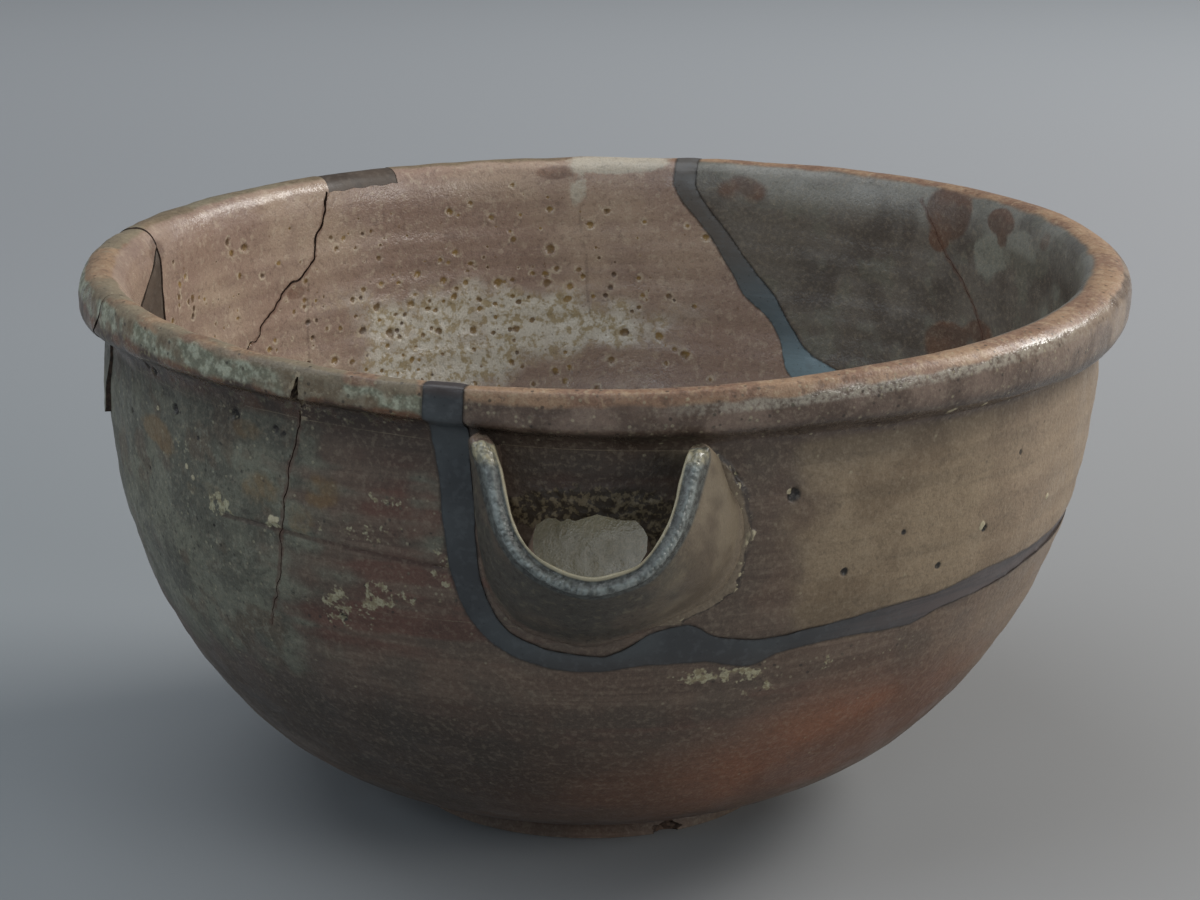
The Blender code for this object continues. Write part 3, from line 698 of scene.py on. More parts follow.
def carve(obj, tool, operation, keep_tool=False, solver='MANIFOLD'):
    before = len(obj.data.polygons)
    mod = obj.modifiers.new("carve", 'BOOLEAN')
    mod.operation = operation
    mod.solver = solver
    mod.object = tool
    graph = bpy.context.evaluated_depsgraph_get()
    mesh = bpy.data.meshes.new_from_object(obj.evaluated_get(graph))
    obj.modifiers.clear()
    old = obj.data
    obj.data = mesh
    bpy.data.meshes.remove(old)
    if len(mesh.polygons) == before:
        print("note: a cut changed nothing on", obj.name, operation)
    if not keep_tool:
        bpy.data.objects.remove(tool, do_unlink=True)


def points_of(mesh):
    p = np.zeros(len(mesh.vertices) * 3, np.float32)
    mesh.vertices.foreach_get("co", p)
    return p.reshape(-1, 3).astype(float)


def put(mesh, name, values):
    att = mesh.attributes.get(name) or mesh.attributes.new(name, 'FLOAT', 'POINT')
    att.data.foreach_set("value", np.asarray(values, np.float32))


def tilt_out(p):
    """Left sherd: turned outwards about the rim, so its lower end stands proud."""
    hinge = place(np.array([141.0]), np.array([185.0]), np.array([150.0]))[0]
    o = np.array([math.cos(math.radians(185.0)), math.sin(math.radians(185.0)), 0.0])
    d = p - hinge
    out = d @ o
    up = d[:, 2]
    rest = d - out[:, None] * o - np.stack([0 * up, 0 * up, up], -1)
    t = math.radians(LEFT_TILT)
    new = rest + (out * math.cos(t) - up * math.sin(t))[:, None] * o
    new[:, 2] += up * math.cos(t) + out * math.sin(t)
    return hinge + new


def catmull(values, n):
    """Smooth open curve through rows of control values, n samples."""
    v = np.asarray(values, float)
    v = np.concatenate([2 * v[:1] - v[1:2], v, 2 * v[-1:] - v[-2:-1]])
    u = np.linspace(0, len(v) - 3 - 1e-9, n)
    i = np.floor(u).astype(int)
    t = (u - i).reshape((-1,) + (1,) * (v.ndim - 1))
    a, b, c, d = v[i], v[i + 1], v[i + 2], v[i + 3]
    return 0.5 * (2 * b + (c - a) * t + (2 * a - 5 * b + 4 * c - d) * t * t
                  + (3 * b - a - 3 * c + d) * t ** 3)


def spout_mesh(nu=360, nv=88):
    """The trough, lofted round its U, with a rough pinched lip."""
    rows = []
    first, last = SPOUT[0], SPOUT[-1]
    stations = ([((first[0][0] - 0.6, first[0][1] - 7.5, first[0][2] + 1.4), first[1], first[2]),
                 ((first[0][0] - 0.4, first[0][1] - 2.4, first[0][2] + 1.3), first[1], first[2])]
                + SPOUT
                + [((last[0][0] + 0.3, last[0][1] - 2.4, last[0][2] + 1.2), last[1], last[2]),
                   ((last[0][0] + 0.4, last[0][1] - 7.5, last[0][2] + 1.0), last[1], last[2])])
    shrink = [0.35, 0.8] + [1.0] * len(SPOUT) + [0.8, 0.35]
    for ((x, y, z), (ao, zo), (ai, zi)), k in zip(stations, shrink):
        crest = np.array([x, -y, z])
        n = np.array([x - SPOUT_CENTRE[0], 0.0, z - SPOUT_CENTRE[1]])
        n = n / np.linalg.norm(n)
        back = np.array([0.0, 1.0, 0.0])
        one = lambda r, a, h: place(np.array([r]), np.array([a]), np.array([h]))[0]
        wo, wi = float(wall_radius(zo)), float(wall_radius(zi))
        root_out = one(wo - 4.0, ao, zo)
        foot_out = one(wo + 0.1, ao, zo)
        root_in = one(wi - 4.0, ai, zi)
        foot_in = one(wi + 0.4, ai, zi)
        lip_out = crest + (n * LIP * 1.22 + back * 2.6) * k
        lip_in = crest + (-n * LIP * 0.95 + back * 1.4) * k
        mid_out = 0.5 * (foot_out + lip_out) + n * 1.0 - back * 0.6
        low_out = 0.82 * foot_out + 0.18 * lip_out + n * 0.2 - back * 0.2
        mid_in = 0.5 * (foot_in + lip_in) + n * 0.4
        near_out = crest + (n * LIP * 0.72 + back * 0.5) * k
        rows.append([root_out, foot_out, low_out, mid_out, lip_out, near_out,
                     crest - back * 0.6 + n * 0.2, crest - n * LIP * 0.5 * k + back * 0.25,
                     lip_in, mid_in, foot_in, root_in])
    rows = np.array(rows)
    grid = catmull(rows, nu)
    grid = np.swapaxes(catmull(np.swapaxes(grid, 0, 1), nv), 0, 1)
    P = grid.reshape(-1, 3)
    # relief on the trough: pinches along the lip and soft finger marks
    crest = catmull(np.array([[s[0][0], -s[0][1], s[0][2]] for s in SPOUT]), 400)
    length = np.concatenate([[0], np.cumsum(np.linalg.norm(np.diff(crest, axis=0), axis=1))])
    du = np.gradient(grid, axis=0)
    dv = np.gradient(grid, axis=1)
    N = np.cross(du, dv)
    N /= np.maximum(np.linalg.norm(N, axis=2, keepdims=True), 1e-9)
    probe = grid[nu // 2, nv // 4]
    if N[nu // 2, nv // 4] @ np.array([0.0, -0.3, -1.0]) < 0:
        N = -N
    N = N.reshape(-1, 3)
    best = np.full(len(P), 1e9)
    where = np.zeros(len(P))
    for i in range(0, 400, 2):
        dd = np.linalg.norm(P - crest[i], axis=1)
        m = dd < best
        best[m] = dd[m]
        where[m] = length[i]
    # the ridge lies a little outside the middle of the lip
    ex = (P[:, 0] - SPOUT_CENTRE[0])
    ez = (P[:, 2] - SPOUT_CENTRE[1])
    nrm = np.hypot(ex, ez) + 1e-9
    ic = np.clip(np.searchsorted(length, where), 0, 399)
    side = ((P[:, 0] - crest[ic, 0]) * ex + (P[:, 2] - crest[ic, 2]) * ez) / nrm
    lip = np.exp(-(best / 3.2) ** 2)
    pinch = np.abs(np.sin(np.pi * (where + 0.30 * side) / 1.55 + 1.3 * noise(P, 7, 61))) ** 0.8
    d = 0.46 * lip * np.exp(-((side - 0.6) / 1.35) ** 2) * (0.25 + 0.75 * pinch) * (0.8 + 0.5 * noise(P, 6, 62))
    d -= 0.30 * np.exp(-(best / 4.0) ** 2) * np.exp(-((side - 2.3) / 0.9) ** 2)
    d += 0.34 * fractal(P, 12, 2, 63) + 0.13 * fractal(P, 3.0, 3, 67)
    P = P + N * d[:, None]
    faces = []
    j = np.arange(nu - 1)[:, None]
    k = np.arange(nv)[None, :]
    n = (k + 1) % nv
    a0, b0 = j * nv + k, (j + 1) * nv + k
    a1, b1 = j * nv + n, (j + 1) * nv + n
    quads = np.stack([a0, a1, b1, b0], -1).reshape(-1, 4)
    tri = np.concatenate([quads[:, [0, 1, 2]], quads[:, [0, 2, 3]]])
    faces = [tuple(f) for f in tri.tolist()]
    for row, flip in ((0, False), (nu - 1, True)):
        c = len(P)
        P = np.concatenate([P, P[row * nv:(row + 1) * nv].mean(0, keepdims=True)])
        for q in range(nv):
            a, b = row * nv + q, row * nv + (q + 1) % nv
            faces.append((b, a, c) if not flip else (a, b, c))
    obj = solid("trough", P, faces)
    mark(obj.data, 0.0)
    return obj


def grown(path, by, radius=137.0):
    """A break line moved square to itself, up and inwards if positive."""
    u, z = np.radians(path[:, 0]) * radius, path[:, 1]
    du, dz = np.gradient(u), np.gradient(z)
    L = np.hypot(du, dz)
    return np.stack([np.degrees((u - dz / L * by) / radius), z + du / L * by], -1)


seam_bowl = dense(SEAM_BOWL, 1.3, 0.16, 71)
seam_sherd = dense(SEAM_SHERD, 1.3, 0.16, 73)

# break lines go on straight up over the rim, for distances
line_bowl = np.concatenate([[[seam_bowl[0, 0], 168.0]], seam_bowl, [[seam_bowl[-1, 0], 168.0]]])
line_sherd = np.concatenate([[[seam_sherd[0, 0], 168.0]], seam_sherd, [[seam_sherd[-1, 0], 168.0]]])


def seam_edge(line):
    """Worn edge of a break: the surface falls away a little beside it."""
    def lift(p, a, z, t, d):
        s = path_distance(line, a, z)
        return d - 0.16 * np.exp(-(s / 0.6) ** 2)
    return lift


def mend_form(p, a, z, t, d):
    """Filler: smooth, a little proud at the left and front, sunk at the right side."""
    b = path_distance(line_bowl, a, z)
    s = path_distance(line_sherd, a, z)
    across = np.clip(4 * b * s / np.maximum((b + s) ** 2, 1e-6), 0, 1)
    inward = t > T_LIP - 3
    right = smooth(-62, -22, a) * (1 - smooth(48, 70, a))
    proud = 0.42 - 0.2 * smooth(-80, -60, a)
    level = (proud * (1 - right) - 0.95 * right) * across ** 0.45
    level = np.where(inward, 0.45 * across ** 0.5, level)
    calm = 0.35 * d + 0.10 * fractal(p, 7, 2, 81)
    return calm + level - 0.04


def near_marks(a, z, inward):
    """Faces of the bowl's body that need a closer mesh."""
    pick = np.zeros(len(a), bool)
    q, _, _ = dents(a, z, [(c[0], c[1], c[2] + 0.7, c[3]) for c in CRATERS], 128.0)
    pick |= inward & (q < 1.55)
    q, _, _ = dents(a, z, [(c[0], c[1], c[2] + 0.8, c[3]) for c in PITS + FLECKS], 139.0)
    pick |= ~inward & (q < 1.6) & (z < 150)
    g, hold = offset_from(GROOVE, a, z, upright=False)
    pick |= ~inward & (hold > 0.1) & (np.abs(g) < 2.2)
    return pick


# --- the bowl's body
out_t = steps([(0.0, T_WALL, 1.6), (T_WALL, T_ROLL, 1.55), (T_ROLL, T_LIP, 1.05), (T_LIP, T_LIP + 0.01, 0.01)])
in_t = steps([(T_LIP + 0.9, t_in(92), 1.25), (t_in(92), t_in(60), 2.2), (t_in(60), T_END - 24, 3.6), (T_END - 24, T_END - 4, 5.0)])
body_mesh = grid_shell(
    steps([(-180, -170, 0.7), (-170, -100, 0.55), (-100, 0, 0.7), (0, 180, 1.4)]), out_t,
    steps([(-180, 62, 1.8), (62, 180, 0.56)]), in_t,
    lift=seam_edge(line_bowl), refine=(near_marks,))
mark(body_mesh, 0.0)
body = link("bowl_body_skin", body_mesh)
carve(body, prism(region(seam_bowl)), 'DIFFERENCE')
left_break = dense([(167.46, LEFT_BREAK[0][1])] + LEFT_BREAK[1:], 1.2, 0.2, 75)
carve(body, prism(region(left_break)), 'DIFFERENCE')
a0, a1, low = RIM_CHIP
carve(body, prism([(q, low + 0.25 * math.sin(q * 2.1), 175.0) for q in np.linspace(a0, a1, 14)], 120.0, 160.0), 'DIFFERENCE')
n = len(CRACK_BACK)
carve(body, slit(CRACK_BACK, [0.78 * (1.0 - 0.62 * (i / (n - 1)) ** 2) for i in range(n)], 110.0, 152.0, step=0.7, jitter=0.42, seed=5), 'DIFFERENCE')
n = len(CRACK_FRONT)
carve(body, slit(CRACK_FRONT, [0.85 - 0.5 * i / (n - 1) for i in range(n)],
                 lambda z: wall_radius(z) - 3.0, lambda z: wall_radius(z) + 3.0, step=0.7, jitter=0.5, seed=11,
                 point=True), 'DIFFERENCE')
carve(body, slit(GASH, [0.5, 1.5, 2.1, 1.3], 138.4, 152.0, jitter=0.2, seed=13), 'DIFFERENCE')
foot_bm = bmesh.new()
bmesh.ops.create_icosphere(foot_bm, subdivisions=3, radius=4.0)
centre = place(np.array([54.6]), np.array([-64.0]), np.array([1.0]))[0]
for v in foot_bm.verts:
    k = 1.0 + 0.18 * math.sin(v.co.x * 1.9 + v.co.z * 2.3) * math.sin(v.co.y * 2.1)
    v.co = (v.co.x * 1.6 * k + centre[0], v.co.y * k + centre[1], v.co.z * 0.8 * k + centre[2])
foot_chip = bpy.data.meshes.new("cutter")
foot_bm.to_mesh(foot_chip)
foot_bm.free()
mark(foot_chip, 1.0)
carve(body, link("cutter", foot_chip), 'DIFFERENCE')

# --- the large sherd with the spout
out_t = steps([(0.0, T_WALL, 3.0), (T_WALL, t_out(74), 6.0), (t_out(74), T_ROLL, 1.05), (T_ROLL, T_LIP, 0.85), (T_LIP, T_LIP + 0.01, 0.01)])
in_t = steps([(T_LIP + 0.9, t_in(78), 1.35), (t_in(78), T_END - 24, 8.0), (T_END - 24, T_END - 4, 10.0)])


def near_hole(a, z, inward):
    q, _, _ = dents(a, z, [(c[0], c[1], c[2] + 0.8, c[3]) for c in PITS + FLECKS], 139.0)
    pick = ~inward & (q < 1.6) & (z < 150)
    pick |= ~inward & (np.hypot(near(a, -91.5) / 11, (z - 119) / 9) < 1)
    return pick


sherd_mesh = grid_shell(
    steps([(-180, -108, 4.0), (-108, 0, 0.42), (0, 84, 0.8), (84, 180, 4.0)]), out_t,
    steps([(-180, -108, 4.0), (-108, 0, 1.0), (0, 84, 0.6), (84, 180, 4.0)]), in_t,
    lift=seam_edge(line_sherd), refine=(near_hole,))
mark(sherd_mesh, 0.0)
sherd = link("spout_sherd_skin", sherd_mesh)
carve(sherd, spout_mesh(), 'UNION')
hole = np.array(HOLE)
az = np.linspace(hole[0, 0], hole[-1, 0], 46)
hp = np.stack([az * 2.4, 0 * az, 0 * az], -1)
lowz = np.interp(az, hole[:, 0], hole[:, 1])
topz = np.interp(az, hole[:, 0], hole[:, 2]) + 0.75 * noise(hp, 1.7, 91) + 0.5 * noise(hp, 3.9, 92) - 0.2
carve(sherd, prism(np.stack([az, lowz, np.maximum(topz, lowz + 2.0)], -1), 112.0, 141.0), 'DIFFERENCE')
carve(sherd, prism(region(seam_sherd)), 'INTERSECT')
n = len(CRACK_RIGHT)
carve(sherd, slit(CRACK_RIGHT, [0.9 - 0.45 * i / (n - 1) for i in range(n)],
                  lambda z: wall_radius(z) - 4.5, lambda z: wall_radius(z) - 11.0, step=0.7, jitter=0.35, seed=17,
                  point=True), 'DIFFERENCE')

# --- the dark filler
out_t = steps([(0.0, T_WALL, 3.0), (T_WALL, t_out(70), 6.0), (t_out(70), t_out(100), 0.9), (t_out(100), T_ROLL, 1.4), (T_ROLL, T_LIP, 1.0), (T_LIP, T_LIP + 0.01, 0.01)])
in_t = steps([(T_LIP + 0.9, t_in(78), 1.3), (t_in(78), T_END - 24, 8.0), (T_END - 24, T_END - 4, 10.0)])
mend_mesh = grid_shell(
    steps([(-180, -110, 5.0), (-110, -98, 0.35), (-98, -20, 0.6), (-20, 60, 1.2), (60, 82, 0.9), (82, 180, 5.0)]), out_t,
    steps([(-180, -110, 5.0), (-110, 56, 1.4), (56, 83, 0.5), (83, 180, 5.0)]), in_t,
    lift=mend_form)
mark(mend_mesh, 0.0)
mend = link("mend_seam_skin", mend_mesh)
carve(mend, prism(region(grown(seam_bowl, GAP))), 'INTERSECT')
carve(mend, prism(region(grown(seam_sherd, -GAP))), 'DIFFERENCE')

# --- the small left sherd, tilted out
out_t = steps([(0.0, T_WALL, 3.0), (T_WALL, t_out(108), 6.0), (t_out(108), T_ROLL, 0.9), (T_ROLL, T_LIP, 0.9), (T_LIP, T_LIP + 0.01, 0.01)])
in_t = steps([(T_LIP + 0.9, t_in(108), 1.0), (t_in(108), T_END - 24, 8.0), (T_END - 24, T_END - 4, 10.0)])
turned = steps([(-180, -155, 0.42), (-155, 163, 4.0), (163, 180, 0.42)])


def for_sherd(a, z, inward):
    return np.zeros(len(a), bool)


left_mesh = grid_shell(turned, out_t, turned, in_t)
q = tilt_out(points_of(left_mesh))
left_mesh.vertices.foreach_set("co", q.astype(np.float32).reshape(-1))
mark(left_mesh, 0.0)
left = link("left_rim_sherd_skin", left_mesh)
carve(left, prism(region(dense(LEFT_SHERD, 1.2, 0.2, 75))), 'INTERSECT')

# --- filler beside it, and in the rim
wedge = link("wedge_fill_skin", grid_shell(turned, out_t, turned, in_t, lift=lambda p, a, z, t, d: 0.3 * d - 0.35))
mark(wedge.data, 0.0)
carve(wedge, prism(WEDGE), 'INTERSECT')
top_az = steps([(-180, 112, 4.0), (112, 138, 0.4), (138, 180, 4.0)])
fill = link("rim_fill_skin", grid_shell(top_az, out_t, top_az, in_t, lift=lambda p, a, z, t, d: 0.4 * d - 0.1))
mark(fill.data, 0.0)
carve(fill, prism([(a0 + 0.07, low + GAP + 0.25 * math.sin(a0 * 2.1), 175.0)]
                  + [(q, low + GAP + 0.25 * math.sin(q * 2.1), 175.0) for q in np.linspace(a0, a1, 14)[1:-1]]
                  + [(a1 - 0.07, low + GAP + 0.25 * math.sin(a1 * 2.1), 175.0)], 120.0, 160.0), 'INTERSECT')


# ----------------------------------------------------------------------------
# masks on the finished meshes
# ----------------------------------------------------------------------------
def masks(obj, sherd_side=False):
    mesh = obj.data
    p = points_of(mesh)
    a, r, z = polar(p)
    a_left = np.where(a > 90, a - 360, a)          # -270..90, for the outside from the left round
    wr = wall_radius(np.minimum(z, 134.5))
    ir = inside_radius(np.clip(z, 12, 144.5))
    inner = 1 - smooth(-0.4, 0.4, r - 0.5 * (wr + ir) - 4.0 * smooth(138, 150, z))
    inner = np.where(z < 11, 0, inner)
    low_n = fractal(p, (38, 38, 22), 3, 101)
    streak = fractal(p, (60, 60, 3.2), 3, 103)
    mid_n = fractal(p, 11, 3, 107)
    fine_n = fractal(p, 4.5, 3, 113)
    # angle round the rolled rim: 0 outwards, 90 on top, 180 towards the inside
    shift = around(OUT_OF_ROUND, a) + 0.55 * around(APEX_OUT, a)
    theta = np.degrees(np.arctan2(z - around(RIM_LIFT, a) - 146.0, r - shift - 138.3))
    theta = np.where(theta < -120, theta + 360, theta)

    # outside
    ash = (1 - smooth(-139, -112, a_left + 9 * low_n + 6 * streak)) * smooth(50, 84, z + 10 * low_n)
    ash = np.maximum(ash, 0.8 * blob(a, z, -108.6, 116, 3.0, 14) * (0.5 + 0.9 * mid_n))
    ash = np.where(a_left < -200, ash * 0.8, ash) * smooth(-262, -222, a_left + 9 * low_n + 6 * streak)
    red = (0.9 * blob(a, z, -110.5, 119, 6, 9) + 0.8 * blob(a, z, -110, 98, 9, 13) + 0.5 * blob(a, z, -113, 132, 6, 3)
           + 0.75 * blob(a, z, -119, 85, 10, 9) + 0.45 * blob(a, z, -103, 80, 9, 12)
           + 0.5 * blob(a, z, -95, 60, 20, 10) + 0.4 * blob(a, z, -70, 63, 12, 9)
           + 0.5 * blob(a, z, -90, 128, 9, 5))
    red = np.clip(red * (0.55 + 0.9 * streak + 0.5 * mid_n), 0, 1)
    ochre = (blob(a, z, -148.2, 123.6, 4, 4) + 0.8 * blob(a, z, -145.5, 121.0, 2.5, 3) + 0.7 * blob(a, z, -129, 118, 3, 5)
             + 0.7 * blob(a, z, -131, 132.5, 3, 3) + 0.9 * blob(a, z, -120.6, 121, 2.6, 5) + 0.5 * blob(a, z, -123.5, 112, 2, 5)
             + 0.4 * blob(a, z, -138, 113, 5, 3))
    ochre = np.clip(ochre * (0.8 + 0.9 * fine_n), 0, 1)
    warm = (1.1 * blob(a, z, -50, 46, 26, 22, 0.25) + 0.55 * blob(a, z, -76, 34, 30, 20, 0.25)
            + 0.35 * blob(a, z, -100, 12, 30, 12, 0.3))
    warm = np.clip(warm * (0.9 + 0.45 * low_n), 0, 1)
    soot = (blob(a, z, -132, 50, 24, 20, 0.3) + 0.8 * blob(a, z, -114, 40, 24, 22, 0.3)
            + 0.55 * blob(a, z, -90, 50, 24, 22, 0.2) + 0.75 * blob(a, z, -91, 126, 12, 10, 0.5)
            + 0.35 * blob(a, z, -80, 84, 14, 10, 0.3))
    soot = np.clip(soot * (0.9 + 0.5 * low_n), 0, 1)
    khaki = smooth(-80, -58, a + 7 * low_n) * smooth(78, 92, z + 5 * low_n) * (1 - smooth(60, 110, a))
    pale = smooth(-60, -22, a + 6 * low_n) * (1 - smooth(60, 120, a)) * smooth(40, 62, z + 6 * low_n)
    crumbs = (blob(a, z, -135.5, 110.5, 2.6, 4) + blob(a, z, -127.6, 109.2, 1.8, 1.3) + 0.75 * blob(a, z, -115, 112, 7, 4.5)
              + 0.75 * blob(a, z, -113, 121, 4, 2.5) + 0.8 * blob(a, z, -118, 90, 6, 8) + 0.7 * blob(a, z, -112, 97, 4, 6)
              + 0.7 * blob(a, z, -106.4, 104, 1.8, 12) + 0.9 * blob(a, z, -77, 74.6, 6.5, 3.2) + 0.6 * blob(a, z, -71, 69, 4, 3)
              + 0.5 * blob(a, z, -140, 122, 6, 8) + 0.5 * blob(a, z, -62, 74, 16, 3.5) + 0.5 * blob(a, z, -85, 137.5, 8, 2.0))
    crumbs = np.clip(crumbs * (0.85 + 0.6 * fine_n), 0, 1)
    roll = smooth(134.5, 137.5, z - np.maximum(around(ROLL_LIFT, a), 0) * 0.45) * (1 - inner)
    q2, _, _ = dents(a, z, PITS, 139.0)
    q2 = np.minimum(q2, 3.0) + 0.22 * noise(p, 1.3, 19)
    pit = np.where(inner < 0.5, q2, 3.0)
    q3, _, _ = dents(a, z, FLECKS, 139.0)
    q3 = np.minimum(q3, 3.0) + 0.35 * noise(p, 1.1, 23)
    fleck = np.where(inner < 0.5, q3, 3.0)
    crust = np.clip(blob(a, z, -91.5, 122.0, 10, 6) * 1.1 + 0.9 * blob(a, z, -84, 113, 3, 6), 0, 1)
    g, hold = offset_from(GROOVE, a, z, upright=False)
    groove = np.where((inner < 0.5) & (hold > 0.02), np.abs(g) + 2.5 * (1 - hold), 4.0)
    g, hold = offset_from(FLANK, a, z)
    g = g + 0.7 * noise(p, 3.2, 25) + 0.4 * noise(p, 1.4, 26)
    flank = np.where((inner < 0.5) & (hold > 0.02), g, 30.0)
    # painted shade: darker on the underside of the rolled rim and on the wall just below it
    under = roll * (1 - smooth(-60, -25, theta)) + smooth(124, 136, z) * (1 - inner) * (1 - roll) * 0.8

    # inside
    mauve = inner * (0.0 if sherd_side else 1.0)
    cream = cream_inside(p, a, z) * inner
    rust_in = inner * (1.1 * blob(a, z, 38.0, 148, 4.2, 9, 0.5) + 1.0 * blob(a, z, 39.4, 139, 1.8, 3.5)
                       + 0.9 * blob(a, z, 27.5, 149.5, 3.0, 4.0) + 0.6 * blob(a, z, 26.6, 144, 1.3, 2.5)
                       + 1.0 * blob(a, z, 35.5, 108, 4.5, 7.5) + 0.8 * blob(a, z, 29, 115, 3.5, 4)
                       + 0.75 * blob(a, z, 71.0, 146.0, 4.0, 5.0) + 0.5 * blob(a, z, 16.0, 149, 2, 4)
                       + 0.8 * blob(a, z, 168, 148, 2.6, 4) + 0.8 * blob(a, z, 96.8, 150.5, 3.0, 2.2)
                       + 0.9 * blob(a, z, 137, 121.5, 1.7, 2.0) + 0.35 * blob(a, z, 150, 132, 5, 4)
                       + 0.35 * blob(a, z, 157, 120, 4, 5) + 0.3 * blob(a, z, 112, 131, 8, 3))
    rust_in = np.clip(rust_in * (1.0 + 0.7 * mid_n + 0.25 * fine_n), 0, 1)
    milky = inner * (0.9 * blob(a, z, 28, 138, 5, 8) + 0.7 * blob(a, z, 18, 146, 8, 5) + 0.5 * blob(a, z, 50, 104, 8, 8)
                     + 0.5 * blob(a, z, 54, 143, 7, 4) + 0.5 * blob(a, z, 8, 132, 10, 10))
    milky = np.clip(milky * (0.8 + 1.0 * mid_n), 0, 1)
    q, depth, size = dents(a, z, CRATERS, 128.0)
    q = np.minimum(q, 3.0) + 0.30 * noise(p, 1.5, 43) + 0.15 * noise(p, 0.8, 44)
    crater = np.where(inner > 0.5, q, 3.0)
    d1, h1 = offset_from(HAIR_ONE, a, z)
    d1 = d1 + 0.6 * noise(p, 5.0, 121)
    d2, h2 = offset_from(HAIR_TWO, a, z)
    d2 = d2 + 0.35 * noise(p, 5.0, 123)
    hair = np.where(inner > 0.5, np.minimum(np.abs(d1) + 3 * (1 - h1), np.abs(d2) + 3 * (1 - h2)), 4.0)
    cb = path_distance(np.array(CRACK_BACK), a, z)
    cr = path_distance(np.array(CRACK_RIGHT), a, z)
    crack = np.minimum(np.where(inner > 0.5, np.minimum(cb, cr), 8.0),
                       np.where(inner < 0.5, path_distance(np.array(CRACK_FRONT), a, z), 8.0))
    gash = np.where(inner < 0.5, path_distance(np.array(GASH), a, z), 8.0)
    seam = np.minimum(path_distance(line_bowl, a, z), path_distance(line_sherd, a, z))
    deposit = blob(a, z, 88, 153.0, 7.0, 3.6) * (0.9 + 0.6 * mid_n) + inner * 0.62 * blob(a, z, 93.8, 146, 1.5, 8) * (0.9 + 0.5 * fine_n)
    out = 1 - inner
    for name, v in dict(inner=inner, ash=ash * out, red=red * out, ochre=ochre * out, warm=warm * out,
                        soot=soot * out, khaki=khaki * out, pale=pale * out, crumbs=crumbs * out,
                        roll=roll, theta=theta, mauve=mauve, cream=cream, milky=milky,
                        rust=rust_in, crater=crater, pit=pit, fleck=fleck, crust=crust * out,
                        groove=groove, flank=flank, hair=hair, crack=crack, gash=gash, seam=seam,
                        deposit=deposit, under=under, azim=a_left, high=z,
                        n_big=0.5 + 0.40 * fractal(p, 30, 2, 201), n_patch=0.5 + 0.42 * fractal(p, 12, 3, 211),
                        n_patch2=0.5 + 0.42 * fractal(p, 9, 3, 221), n_mid=0.5 + 0.42 * fractal(p, 7, 3, 231)).items():
        put(mesh, name, v)


masks(body)
masks(left)
masks(sherd, True)
for obj in (mend, wedge, fill):
    p = points_of(obj.data)
    a, r, z = polar(p)
    ir = 0.5 * (wall_radius(np.minimum(z, 134.5)) + inside_radius(np.clip(z, 12, 144.5)))
    put(obj.data, "inner", 1 - smooth(-0.4, 0.4, r - ir - 4.0 * smooth(138, 150, z)))
    put(obj.data, "azim", np.where(a > 90, a - 360, a))
    put(obj.data, "high", z)
    put(obj.data, "edge", np.minimum(path_distance(line_bowl, a, z), path_distance(line_sherd, a, z)))

# spout: distance from the crest of its lip, and which side of it
p = points_of(sherd.data)
crest = catmull(np.array([[s[0][0], -s[0][1], s[0][2]] for s in SPOUT]), 240)
best = np.full(len(p), 1e9)
nearest = np.zeros(len(p), int)
close = (p[:, 1] < -128) & (np.abs(p[:, 0]) < 45) & (p[:, 2] < 146)
idx = np.nonzero(close)[0]
for i in range(240):
    dd = np.linalg.norm(p[idx] - crest[i], axis=1)
    m = dd < best[idx]
    best[idx[m]] = dd[m]
    nearest[idx[m]] = i
ex, ez = p[:, 0] - SPOUT_CENTRE[0], p[:, 2] - SPOUT_CENTRE[1]
side = ((p[:, 0] - crest[nearest, 0]) * ex + (p[:, 2] - crest[nearest, 2]) * ez) / (np.hypot(ex, ez) + 1e-9)
a, r, z = polar(p)
on_spout = smooth(0.6, 2.2, r - wall_radius(np.minimum(z, 134.5)) - 1.0) * close * (1 - smooth(139, 142, z) * (p[:, 1] > -146))
put(sherd.data, "lip", np.minimum(best, 20.0))
put(sherd.data, "lip_side", np.clip(side, -20, 20))
put(sherd.data, "spout", on_spout)
for obj in (body, left):
    n = len(obj.data.vertices)
    put(obj.data, "lip", np.full(n, 20.0))
    put(obj.data, "lip_side", np.full(n, 20.0))
    put(obj.data, "spout", np.zeros(n))


# ----------------------------------------------------------------------------
# materials
# ----------------------------------------------------------------------------
def srgb(r, g, b):
    f = lambda c: ((c / 255.0) / 12.92) if c / 255.0 <= 0.04045 else (((c / 255.0) + 0.055) / 1.055) ** 2.4
    return (f(r), f(g), f(b), 1.0)


